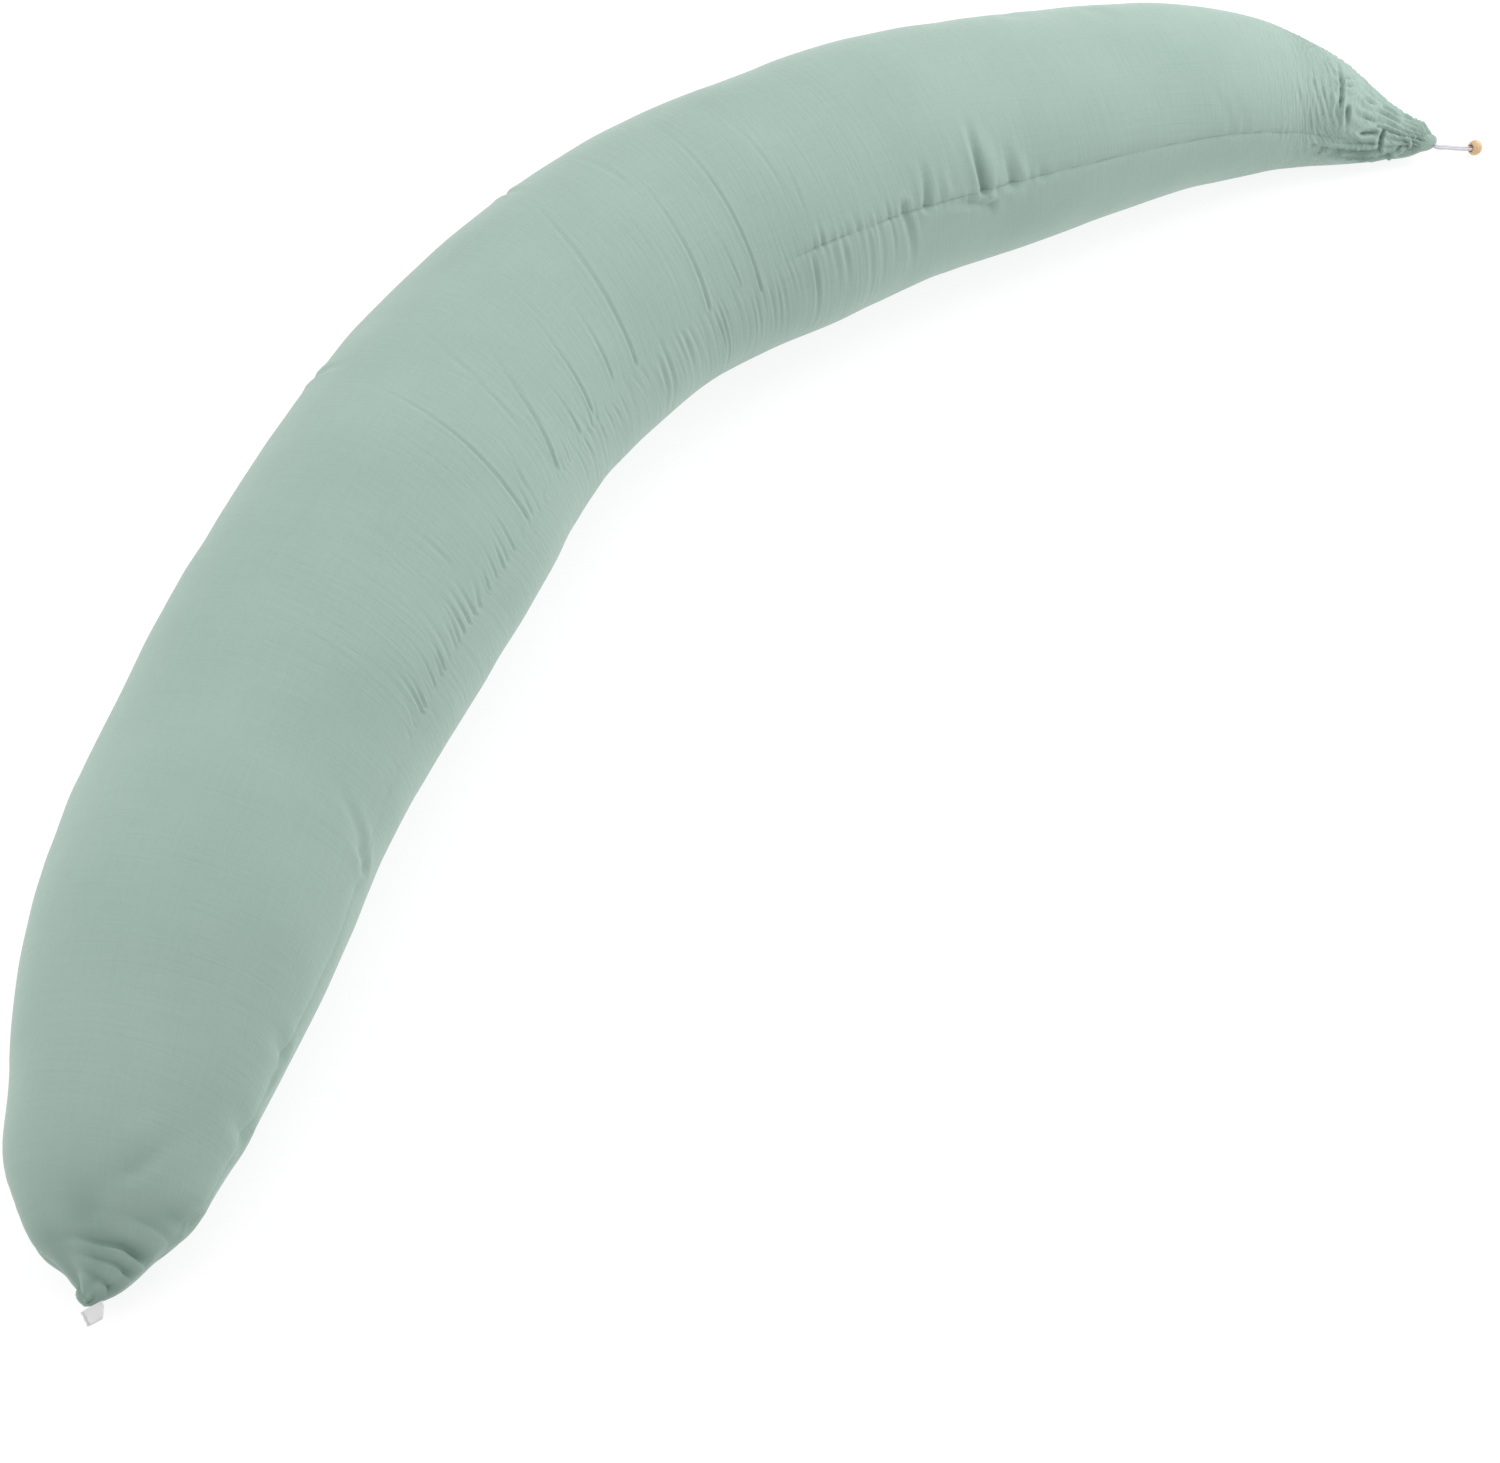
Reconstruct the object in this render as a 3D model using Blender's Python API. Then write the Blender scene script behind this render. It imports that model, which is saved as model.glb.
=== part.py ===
"""Crescent body pillow, 1.9 m long along its middle.

Two crescent panels are sewn edge to edge and filled, so the body is one soft
solid. Its inner and outer seams draw the cloth in, the inside of the bend is
puckered, the near tip is gathered to a point and the far tip is crinkled and
drawn in. A folded white tape is caught in the near tip. A draw cord of two
strands leaves the far tip and carries a turned wooden bead.

Metres, +Z up. X runs along the line between the tips, from the near tip to the
far one, and +Y points to the outer side of the bend. The body rests on Z = 0,
with the middle of its bounding box above the origin.

A place on the cloth is given by two numbers: how far along the middle line it
lies, in metres from the near tip, and its turn around the section, in degrees.
Turn 0 is the inner side, 90 the top, 180 the outer side and 270 the underside.
"""

from collections import namedtuple
from math import acos, cos, pi, radians, sin

import bmesh
import bpy
import numpy as np
from mathutils import Matrix, Vector

# The body, a row for each section from the near tip to the far tip.
# x and y place the middle line, from the line between the tips.
# seam_turn is the turn of the inner seam, which rolls upward in the bend.
Section = namedtuple("Section", "along x y half_width seam_turn")
SECTIONS = (
    Section(0.000, -0.826, 0.011, 0.0085, 0),
    Section(0.006, -0.8205, 0.0133, 0.0105, 0),
    Section(0.010, -0.8163, 0.0152, 0.0165, 0),
    Section(0.015, -0.811, 0.018, 0.025, 0),
    Section(0.032, -0.797, 0.029, 0.046, 0),
    Section(0.055, -0.778, 0.043, 0.064, 0),
    Section(0.090, -0.749, 0.064, 0.077, -2),
    Section(0.130, -0.715, 0.086, 0.087, -2),
    Section(0.180, -0.674, 0.114, 0.098, 0),
    Section(0.240, -0.628, 0.143, 0.107, 1),
    Section(0.380, -0.524, 0.205, 0.114, 12),
    Section(0.540, -0.390, 0.270, 0.122, 21),
    Section(0.700, -0.241, 0.333, 0.128, 21),
    Section(0.860, -0.093, 0.386, 0.126, 20),
    Section(1.020, 0.088, 0.403, 0.129, 22),
    Section(1.180, 0.239, 0.375, 0.131, 24),
    Section(1.340, 0.374, 0.338, 0.128, 20),
    Section(1.490, 0.508, 0.283, 0.118, 18),
    Section(1.620, 0.644, 0.223, 0.103, 14),
    Section(1.730, 0.745, 0.155, 0.081, 11),
    Section(1.780, 0.782, 0.114, 0.064, 10),
    Section(1.810, 0.803, 0.083, 0.050, 12),
    Section(1.835, 0.821, 0.055, 0.034, 18),
    Section(1.860, 0.835, 0.029, 0.0215, 24),
    Section(1.880, 0.8385, 0.0155, 0.0145, 26),
    Section(1.900, 0.8372, 0.0052, 0.007, 28),
)
LENGTH = SECTIONS[-1].along
HEIGHT_TO_WIDTH = 0.84
FLATTENING = 0.12         # share of the half height that the floor presses flat
NEAR_TIP_HEIGHT = 0.016   # middle of the tip above the floor
FAR_TIP_HEIGHT = 0.0235
TIP_DROOP_LENGTH = 0.06
TIP_CAP_BULGE = 0.5       # of the tip's half width

# The seams, which draw the cloth in.
SEAM_DEPTH = 0.0026
SEAM_WIDTH = 0.005
SEAM_FULL_FROM = 0.06     # half width from which a seam is drawn in fully

# The puckers along the inner seam, a row for each run of them.
# They reach from the seam over `reach` degrees, up over the top panel if it
# is positive and down over the lower panel if it is negative.
Puckers = namedtuple("Puckers", "start end reach depth")
PUCKER_PITCH = 0.016
PUCKER_UNEVENNESS = 0.28  # share by which one pucker's depth differs from the next
FOLD_LEAD = 0.12          # share of a fold's or pucker's reach in which it sinks in
PUCKER_RUNS = (
    Puckers(0.472, 0.648, 17, 0.0026),
    Puckers(0.928, 1.248, -38, 0.0026),
)

# The single folds, a row for each. A fold is deepest where it starts and
# fades to its end, and its width is measured along the pillow.
Fold = namedtuple("Fold", "name along turn end_along end_turn width depth")
FOLDS = (
    Fold("near shoulder fold", 0.027, -8, 0.026, 78, 0.0055, 0.0045),
    Fold("second shoulder fold", 0.017, 0, 0.016, 88, 0.0040, 0.0035),
    Fold("near tip crease", 0.112, -6, 0.118, 32, 0.009, 0.0035),
    Fold("second near tip crease", 0.166, 0, 0.170, 26, 0.010, 0.0030),
    Fold("near end crease", 0.334, 6, 0.380, 44, 0.012, 0.0036),
    Fold("first bend arc", 0.682, 22, 0.735, 118, 0.010, 0.0030),
    Fold("first outer notch", 0.770, 170, 0.750, 112, 0.010, 0.0045),
    Fold("second bend arc", 0.744, 22, 0.822, 96, 0.010, 0.0034),
    Fold("short bend arc", 0.798, 22, 0.806, 48, 0.009, 0.0022),
    Fold("third bend arc", 0.828, 22, 0.866, 76, 0.010, 0.0028),
    Fold("fourth bend arc", 0.873, 24, 0.894, 64, 0.010, 0.0025),
    Fold("fifth bend arc", 0.905, 22, 0.960, 112, 0.010, 0.0030),
    Fold("second outer notch", 0.985, 170, 0.966, 108, 0.010, 0.0035),
    Fold("sixth bend arc", 1.003, 20, 1.028, 96, 0.010, 0.0028),
    Fold("seventh bend arc", 1.073, 18, 1.080, 116, 0.010, 0.0028),
    Fold("lower tuck", 1.262, 24, 1.270, -10, 0.012, 0.0038),
    Fold("soft hollow", 1.296, 22, 1.298, 50, 0.013, 0.0048),
    Fold("deep tuck", 1.376, 19, 1.373, 62, 0.011, 0.0080),
    Fold("second tuck", 1.412, 19, 1.407, 46, 0.010, 0.0050),
    Fold("far seam tuck", 1.782, 4, 1.812, -30, 0.010, 0.0040),
    Fold("far hollow", 1.790, 40, 1.786, 98, 0.008, 0.0080),
    Fold("second far hollow", 1.801, 20, 1.801, 54, 0.007, 0.0045),
    Fold("seam roll hollow", 1.818, 18, 1.830, 44, 0.008, 0.0065),
    Fold("tip roll edge", 1.836, 36, 1.840, -34, 0.007, 0.0050),
)

# The gathers that close the near tip and the crinkles of the far one.
NEAR_GATHERS = 7
NEAR_GATHER_DEPTH = 0.0030
NEAR_GATHER_LENGTH = 0.045
NEAR_GATHER_LEAD = 0.012
CRINKLE_START = 1.735
CRINKLE_RISE = 0.040
CRINKLE_END = 1.870
CRINKLE_FALL = 0.025
CRINKLE_LOW_TURN = -40    # crinkles grow from the floor over CRINKLE_TURN_RISE degrees
CRINKLE_HIGH_TURN = 190
CRINKLE_TURN_RISE = 30
CRINKLE_PITCH = 0.020
CRINKLE_DEPTH = 0.0028
CRINKLE_LEAN = 0.040      # metres back toward the near tip for each radian of turn

# How finely the body is cut into rings, a row for each stretch.
Stretch = namedtuple("Stretch", "start end spacing")
STRETCHES = (
    Stretch(0.000, 0.040, 0.0040),
    Stretch(0.040, 0.100, 0.0100),
    Stretch(0.100, 0.472, 0.0248),
    Stretch(0.472, 0.648, PUCKER_PITCH / 2),
    Stretch(0.648, 0.928, 0.0125),
    Stretch(0.928, 1.248, PUCKER_PITCH / 2),
    Stretch(1.248, 1.440, 0.0120),
    Stretch(1.440, 1.720, 0.0280),
    Stretch(1.720, LENGTH, 0.0062),
)
SEAM_BAND = (-9.0, -2.6, 0.0, 2.6, 9.0)   # turns of the lines beside a seam
TOP_STEPS = 12
UNDERSIDE_STEPS = 9
DIRECTION_STEP = 0.0005   # half the stretch over which the middle line's direction is read

# The folded tape beside the near tip's knob.
TAPE_ROOT = (-0.8247, 0.0034, 0.0175)   # middle of its open end
TAPE_HEADING = 255.0      # degrees from +X, seen from above
TAPE_WIDTH = 0.013
TAPE_LENGTH = 0.011
TAPE_THICKNESS = 0.0009
TAPE_GAP = 0.0009         # between the two layers
TAPE_SKEW = 0.002         # how far the upper layer is pulled sideways
TAPE_PITCH = 15.0         # degrees below level
TAPE_BEND_STEPS = 6

# The draw cord. Each row is a point of the middle between the two strands,
# with x and y from the middle of the far tip, in the order tip to bead.
CordPoint = namedtuple("CordPoint", "x y z")
CORD_ROUTE = (
    CordPoint(0.0016, -0.0052, 0.0235),
    CordPoint(0.0072, -0.0080, 0.0218),
    CordPoint(0.0150, -0.0114, 0.0187),
    CordPoint(0.0245, -0.0155, 0.0148),
    CordPoint(0.0345, -0.0198, 0.0112),
    CordPoint(0.0502, -0.0264, 0.0076),
)
STRAND_DIAMETER = 0.0028
STRAND_GAP = 0.0004
STRAND_POINTS = 9

# The turned bead, a barrel with a bore for both strands.
BEAD_RADIUS = 0.0075
BEAD_LENGTH = 0.0115
BEAD_BORE_RADIUS = 0.0034
BEAD_BORE_EASE = 0.0007   # easing of the bore's two rims
BEAD_FROM_CORD_END = 0.0042   # bead's middle, back from the strands' cut ends
BEAD_PROFILE_STEPS = 12
BEAD_SIDES = 32


def clear_scene():
    """Remove the objects that the scene starts with."""
    for old in list(bpy.data.objects):
        bpy.data.objects.remove(old, do_unlink=True)


def plain_material(name, colour, roughness):
    """A Principled material of one colour."""
    material = bpy.data.materials.new(name)
    material.use_nodes = True
    shader = material.node_tree.nodes["Principled BSDF"]
    shader.inputs["Base Color"].default_value = (*colour, 1.0)
    shader.inputs["Roughness"].default_value = roughness
    shader.inputs["Metallic"].default_value = 0.0
    return material


def add_mesh_object(name, points, faces, material):
    """A smooth-shaded mesh object with all its faces pointing outward."""
    mesh = bpy.data.meshes.new(name)
    shape = bmesh.new()
    corners = [shape.verts.new(point) for point in points]
    for face in faces:
        shape.faces.new([corners[index] for index in face])
    bmesh.ops.recalc_face_normals(shape, faces=shape.faces)
    shape.to_mesh(mesh)
    shape.free()
    mesh.shade_smooth()
    mesh.materials.append(material)
    made = bpy.data.objects.new(name, mesh)
    bpy.context.scene.collection.objects.link(made)
    return made


def spline_through(knots, values, wanted):
    """Natural cubic spline through a table column, read at the wanted places."""
    knots = np.asarray(knots, float)
    values = np.asarray(values, float)
    step = np.diff(knots)
    slope = np.diff(values) / step
    count = len(knots)
    system = np.eye(count)
    right = np.zeros(count)
    for row in range(1, count - 1):
        system[row, row - 1] = step[row - 1]
        system[row, row] = 2 * (step[row - 1] + step[row])
        system[row, row + 1] = step[row]
        right[row] = 6 * (slope[row] - slope[row - 1])
    bend = np.linalg.solve(system, right)
    span = np.clip(np.searchsorted(knots, wanted) - 1, 0, count - 2)
    after = wanted - knots[span]
    before = knots[span + 1] - wanted
    width = step[span]
    return (
        (bend[span] * before**3 + bend[span + 1] * after**3) / (6 * width)
        + (values[span] / width - bend[span] * width / 6) * before
        + (values[span + 1] / width - bend[span + 1] * width / 6) * after
    )


def column(name, wanted):
    """One column of the section table, read smoothly at the wanted places."""
    knots = [section.along for section in SECTIONS]
    values = [getattr(section, name) for section in SECTIONS]
    return spline_through(knots, values, wanted)


def middle_line(along):
    """Points of the middle line seen from above, and its outward side direction."""
    line = np.stack([column("x", along), column("y", along)], axis=-1)
    ahead = np.minimum(along + DIRECTION_STEP, LENGTH)
    behind = np.maximum(along - DIRECTION_STEP, 0.0)
    run = np.stack(
        [column("x", ahead) - column("x", behind), column("y", ahead) - column("y", behind)],
        axis=-1,
    )
    run /= np.linalg.norm(run, axis=-1, keepdims=True)
    outward = np.stack([-run[..., 1], run[..., 0]], axis=-1)
    return line, run, outward


def section_height(along, half_height):
    """Height of a section's middle: pressed flat below, drooping at the tips."""
    edge = np.minimum(along, LENGTH - along)
    tip = np.where(along < LENGTH / 2, NEAR_TIP_HEIGHT, FAR_TIP_HEIGHT)
    droop = tip * np.exp(-((edge / TIP_DROOP_LENGTH) ** 2))
    return np.hypot(half_height * (1 - FLATTENING), droop)


def smooth_step(value):
    """0 below 0, 1 above 1 and a soft rise between."""
    share = np.clip(value, 0.0, 1.0)
    return share * share * (3 - 2 * share)


def seam_inset(turn, seam_turn):
    """How far the inner and the outer seam draw the cloth in."""
    radius = np.mean([section.half_width for section in SECTIONS])
    inset = np.zeros_like(turn)
    for opposite in (0.0, 180.0):
        off = (turn - seam_turn - opposite + 180.0) % 360.0 - 180.0
        arc = np.radians(off) * radius
        inset += SEAM_DEPTH * np.exp(-np.abs(arc) / SEAM_WIDTH)
    return inset


def pucker_inset(along, turn, seam_turn):
    """The runs of short puckers beside the inner seam."""
    inset = np.zeros_like(turn)
    for run in PUCKER_RUNS:
        inside = (along > run.start) & (along < run.end)
        count = np.floor((along - run.start) / PUCKER_PITCH)
        uneven = 1 - PUCKER_UNEVENNESS * (1 - np.sin(2.4 * count))
        wave = 0.5 - 0.5 * np.cos(2 * pi * (along - run.start) / PUCKER_PITCH)
        share = (turn - seam_turn) / run.reach
        fade = smooth_step(share / FOLD_LEAD) * (1 - smooth_step(share))
        inset += np.where(inside, run.depth * uneven * wave * fade, 0.0)
    return inset


def fold_inset(along, turn):
    """The single folds: soft troughs, each deepest where it starts."""
    inset = np.zeros_like(turn)
    for fold in FOLDS:
        share = (turn - fold.turn) / (fold.end_turn - fold.turn)
        line = fold.along + (fold.end_along - fold.along) * share
        across = np.exp(-(((along - line) / fold.width) ** 2))
        fade = smooth_step(share / FOLD_LEAD + 1) * (1 - smooth_step(share))
        inset += fold.depth * across * fade
    return inset


def tip_inset(along, turn):
    """Gathers that radiate from the near tip, and crinkles across the far one."""
    angle = np.radians(turn)
    gathers = NEAR_GATHER_DEPTH * (0.5 - 0.5 * np.cos(NEAR_GATHERS * angle))
    gathers *= np.exp(-((along / NEAR_GATHER_LENGTH) ** 2))
    gathers *= smooth_step(along / NEAR_GATHER_LEAD)
    phase = (along + CRINKLE_LEAN * angle) / CRINKLE_PITCH
    crinkles = CRINKLE_DEPTH * (0.5 - 0.5 * np.cos(2 * pi * phase))
    rise = smooth_step((along - CRINKLE_START) / CRINKLE_RISE)
    fall = 1 - smooth_step((along - CRINKLE_END) / CRINKLE_FALL)
    above_floor = smooth_step((turn - CRINKLE_LOW_TURN) / CRINKLE_TURN_RISE)
    above_floor *= 1 - smooth_step((turn - CRINKLE_HIGH_TURN) / CRINKLE_TURN_RISE)
    return gathers + crinkles * rise * fall * above_floor


def body_surface(along, turn):
    """Points of the filled cloth, a row for each ring and a column for each turn."""
    turn = (turn + 90) % 360 - 90
    half_width = column("half_width", along)
    half_height = half_width * HEIGHT_TO_WIDTH
    middle = section_height(along, half_height)
    line, _, outward = middle_line(along)
    places = along[:, None] + np.zeros_like(turn)
    seam_turn = column("seam_turn", along)[:, None]
    inset = seam_inset(turn, seam_turn) * smooth_step(half_width[:, None] / SEAM_FULL_FROM)
    inset += pucker_inset(places, turn, seam_turn)
    inset += fold_inset(places, turn)
    inset += tip_inset(places, turn)
    angle = np.radians(turn)
    side = -np.cos(angle)
    rise = np.sin(angle)
    slope = np.hypot(side * HEIGHT_TO_WIDTH, rise)
    across = half_width[:, None] * side - inset * side * HEIGHT_TO_WIDTH / slope
    height = middle[:, None] + half_height[:, None] * rise - inset * rise / slope
    points = np.empty((*turn.shape, 3))
    points[..., :2] = line[:, None] + outward[:, None] * across[..., None]
    points[..., 2] = np.maximum(height, 0.0)
    return points


def ring_places():
    """Where the rings of the body lie, closer together where the cloth is puckered."""
    places = [0.0]
    for stretch in STRETCHES:
        count = round((stretch.end - stretch.start) / stretch.spacing)
        places += [
            stretch.start + (stretch.end - stretch.start) * step / count
            for step in range(1, count + 1)
        ]
    return np.array(places)


def ring_turns():
    """Turns of the ring's points from the inner seam, with close lines at both seams."""
    band = SEAM_BAND[-1]
    top = np.linspace(band, 180 - band, TOP_STEPS + 1)[1:-1]
    underside = np.linspace(180 + band, 360 - band, UNDERSIDE_STEPS + 1)[1:-1]
    inner = np.array(SEAM_BAND)
    return np.concatenate([inner, top, inner + 180, underside])


def body_points():
    """All points of the body: its rings, then the two tip points."""
    along = ring_places()
    turn = column("seam_turn", along)[:, None] + ring_turns()[None, :]
    rings = body_surface(along, turn)
    _, run, _ = middle_line(along[[0, -1]])
    caps = []
    for ring, sign, way in ((rings[0], -1, run[0]), (rings[-1], 1, run[1])):
        centre = ring.mean(axis=0)
        bulge = TIP_CAP_BULGE * np.ptp(ring[:, 2]) / 2
        caps.append(centre + sign * bulge * np.array([way[0], way[1], 0.0]))
    return rings, np.array(caps)


def build_body(material):
    """The filled body as one closed solid."""
    rings, caps = body_points()
    count, sides = rings.shape[:2]
    points = np.concatenate([rings.reshape(-1, 3), caps])
    near_cap = count * sides
    far_cap = near_cap + 1
    last = (count - 1) * sides
    faces = []
    for side in range(sides):
        after = (side + 1) % sides
        for ring in range(count - 1):
            here = ring * sides
            there = here + sides
            faces.append((here + side, here + after, there + after, there + side))
        faces.append((near_cap, after, side))
        faces.append((far_cap, last + side, last + after))
    return add_mesh_object("pillow_body", points.tolist(), faces, material)


def tape_outline():
    """The folded tape seen from its side: two layers joined by a round bend."""
    inner = TAPE_GAP / 2
    outer = inner + TAPE_THICKNESS
    bend = TAPE_LENGTH - outer
    angles = [pi / 2 - pi * step / TAPE_BEND_STEPS for step in range(TAPE_BEND_STEPS + 1)]
    outside = [(bend + outer * cos(a), outer * sin(a)) for a in angles]
    inside = [(bend + inner * cos(a), inner * sin(a)) for a in reversed(angles)]
    return [(0.0, outer), *outside, (0.0, -outer), (0.0, -inner), *inside, (0.0, inner)]


def build_tape(material):
    """The white tape at the near tip, folded double, as one bent strip."""
    root = Vector(TAPE_ROOT)
    heading = Matrix.Rotation(radians(TAPE_HEADING), 3, "Z")
    pitch = Matrix.Rotation(radians(TAPE_PITCH), 3, "Y")
    outline = tape_outline()
    points = []
    for side in (-1, 1):
        for out, up in outline:
            skew = TAPE_SKEW * up / (TAPE_GAP + TAPE_THICKNESS)
            flat = Vector((out, side * TAPE_WIDTH / 2 + skew, up))
            points.append(root + heading @ (pitch @ flat))
    count = len(outline)
    faces = [tuple(range(count)), tuple(reversed(range(count, 2 * count)))]
    for index in range(count):
        after = (index + 1) % count
        faces.append((index, after, count + after, count + index))
    return add_mesh_object("end_tab", points, faces, material)


def cord_line(places):
    """Points of the middle between the strands, at shares of the cord's length."""
    route = np.array([tuple(point) for point in CORD_ROUTE])
    route[:, :2] += (SECTIONS[-1].x, SECTIONS[-1].y)
    lengths = np.linalg.norm(np.diff(route, axis=0), axis=1)
    knots = np.concatenate([[0.0], np.cumsum(lengths)])
    wanted = np.asarray(places) * knots[-1]
    return np.stack([spline_through(knots, route[:, axis], wanted) for axis in range(3)], axis=1)


def build_strand(name, side, material):
    """One strand of the cord: a round tube beside the shared middle line."""
    line = cord_line(np.linspace(0, 1, STRAND_POINTS))
    run = np.gradient(line, axis=0)
    level = np.stack([-run[:, 1], run[:, 0], np.zeros(len(run))], axis=1)
    level /= np.linalg.norm(level, axis=1, keepdims=True)
    points = line + side * (STRAND_DIAMETER + STRAND_GAP) / 2 * level
    curve = bpy.data.curves.new(name, "CURVE")
    curve.dimensions = "3D"
    curve.bevel_depth = STRAND_DIAMETER / 2
    curve.bevel_resolution = 2
    curve.use_fill_caps = True
    spline = curve.splines.new("POLY")
    spline.points.add(len(points) - 1)
    for target, point in zip(spline.points, points):
        target.co = (*point, 1.0)
    spline.use_smooth = True
    curve.materials.append(material)
    strand = bpy.data.objects.new(name, curve)
    bpy.context.scene.collection.objects.link(strand)
    return strand


def bead_profile():
    """Half section of the bead: a barrel outside and a bore with eased rims inside."""
    half = BEAD_LENGTH / 2
    widest = acos((BEAD_BORE_RADIUS + BEAD_BORE_EASE) / BEAD_RADIUS)
    barrel = []
    for step in range(BEAD_PROFILE_STEPS + 1):
        angle = widest * (2 * step / BEAD_PROFILE_STEPS - 1)
        barrel.append((BEAD_RADIUS * cos(angle), half * sin(angle) / sin(widest)))
    bore_end = half - BEAD_BORE_EASE
    return [*barrel, (BEAD_BORE_RADIUS, bore_end), (BEAD_BORE_RADIUS, -bore_end)]


def build_bead(material):
    """The turned bead, its bore along the last tenth of the cord."""
    inside, cut = (Vector(point) for point in cord_line([0.9, 1.0]))
    axis = (cut - inside).normalized()
    centre = cut - axis * BEAD_FROM_CORD_END
    mesh = bpy.data.meshes.new("bead")
    shape = bmesh.new()
    corners = [shape.verts.new((radius, 0.0, height)) for radius, height in bead_profile()]
    edges = [shape.edges.new(pair) for pair in zip(corners, [*corners[1:], corners[0]])]
    bmesh.ops.spin(
        shape,
        geom=[*corners, *edges],
        cent=(0, 0, 0),
        axis=(0, 0, 1),
        angle=2 * pi,
        steps=BEAD_SIDES,
        use_duplicate=False,
    )
    bmesh.ops.remove_doubles(shape, verts=shape.verts, dist=1e-6)
    bmesh.ops.recalc_face_normals(shape, faces=shape.faces)
    shape.to_mesh(mesh)
    shape.free()
    mesh.shade_smooth()
    mesh.materials.append(material)
    bead = bpy.data.objects.new("bead", mesh)
    bead.matrix_world = Matrix.Translation(centre) @ axis.to_track_quat("Z", "Y").to_matrix().to_4x4()
    bpy.context.scene.collection.objects.link(bead)
    return bead


def stand_at_origin(standing, others):
    """Move everything so that the standing pieces' bounding box is centred on X and Y."""
    corners = [made.matrix_world @ vert.co for made in standing for vert in made.data.vertices]
    lowest = [min(corner[axis] for corner in corners) for axis in range(3)]
    highest = [max(corner[axis] for corner in corners) for axis in range(3)]
    middle = Vector(((lowest[0] + highest[0]) / 2, (lowest[1] + highest[1]) / 2, lowest[2]))
    for made in (*standing, *others):
        made.location -= middle


def main():
    clear_scene()
    cotton = plain_material("sage cotton", (0.35, 0.50, 0.42), 0.9)
    tape = plain_material("white tape", (0.85, 0.85, 0.85), 0.8)
    cord = plain_material("white cord", (0.80, 0.80, 0.80), 0.75)
    wood = plain_material("pale wood", (0.72, 0.50, 0.30), 0.55)
    body = build_body(cotton)
    tab = build_tape(tape)
    strands = [build_strand("cord_strand_1", -1, cord), build_strand("cord_strand_2", 1, cord)]
    bead = build_bead(wood)
    bpy.context.view_layer.update()
    stand_at_origin([body, tab], [*strands, bead])


main()
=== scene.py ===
# %% [markdown]
# # A crescent body pillow
#
# The pillow is two crescent panels of sage green cotton, sewn edge to edge and filled.
# One tip holds a folded white tape. A draw cord of two strands leaves the other and
# carries a turned wooden bead. Each piece here is made from a formula on a grid, gets a
# procedural finish, and is lit softly on a white floor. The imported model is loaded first:
# it gives the frame that every piece is placed in.

from collections import namedtuple
from math import pi, radians

import bpy
import numpy as np
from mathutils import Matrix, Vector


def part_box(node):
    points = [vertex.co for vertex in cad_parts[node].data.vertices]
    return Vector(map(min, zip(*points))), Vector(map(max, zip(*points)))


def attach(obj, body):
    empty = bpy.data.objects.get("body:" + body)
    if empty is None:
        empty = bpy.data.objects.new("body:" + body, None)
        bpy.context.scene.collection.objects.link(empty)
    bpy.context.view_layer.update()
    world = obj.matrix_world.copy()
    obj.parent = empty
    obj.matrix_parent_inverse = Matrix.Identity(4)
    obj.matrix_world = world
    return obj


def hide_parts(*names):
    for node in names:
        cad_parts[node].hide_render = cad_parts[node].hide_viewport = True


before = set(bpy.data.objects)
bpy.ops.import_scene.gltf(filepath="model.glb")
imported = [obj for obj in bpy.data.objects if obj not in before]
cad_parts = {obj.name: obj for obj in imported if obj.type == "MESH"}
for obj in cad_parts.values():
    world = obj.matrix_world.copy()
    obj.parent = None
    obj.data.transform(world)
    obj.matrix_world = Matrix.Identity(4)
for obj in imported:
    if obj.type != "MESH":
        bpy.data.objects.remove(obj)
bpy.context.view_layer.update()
body_low, body_high = (np.array(corner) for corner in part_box("pillow_body"))


def in_mm(metres):
    """Metres as millimetres, to a tenth."""
    return np.round(np.asarray(metres) * 1000, 1)


print("nodes:", sorted(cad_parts))
print("body measures", np.round(body_high - body_low, 3), "m")

# %% [markdown]
# ## The camera
#
# The pillow is seen from beyond its near end and from above, so its near tip looks large
# and its far tip small. A camera can be placed by eye or fitted to an outline. Here it
# was fitted, together with the pillow's widths and bend, with the pillow lying flat.
# Another camera with other widths could give nearly the same outline.

# %% Place the camera
CAMERA_PLACE = (-0.9483, -0.9450, 1.3326)
CAMERA_HEADING = 42.48    # degrees from +X towards +Y
CAMERA_LOOKS_DOWN = 52.0  # degrees below level
LENS = 50.4               # mm
SENSOR = 36.0             # mm across
NEAREST_SEEN = 0.05

lens = bpy.data.cameras.new("studio_camera")
lens.lens = LENS
lens.sensor_width = SENSOR
lens.sensor_fit = "HORIZONTAL"
lens.clip_start = NEAREST_SEEN
camera = bpy.data.objects.new("studio_camera", lens)
camera.location = CAMERA_PLACE
camera.rotation_euler = (radians(90 - CAMERA_LOOKS_DOWN), 0.0, radians(CAMERA_HEADING - 90))
bpy.context.scene.collection.objects.link(camera)
bpy.context.scene.camera = camera
print("camera", CAMERA_PLACE, "lens", LENS, "mm")

# %% [markdown]
# ## Where the pillow runs
#
# The pillow's middle is a bent line. A short table gives, for each section, its place,
# half width and the turn of its inner seam, and a natural cubic spline reads it smoothly.
# The solid was built from the same table, so the cloth lies where the solid is.
#
# A place on the cloth is two numbers. `along` is metres from the near tip, and `turn` is
# degrees around the section: 0 inner side, 90 top, 180 outer side, 270 underside.

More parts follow.
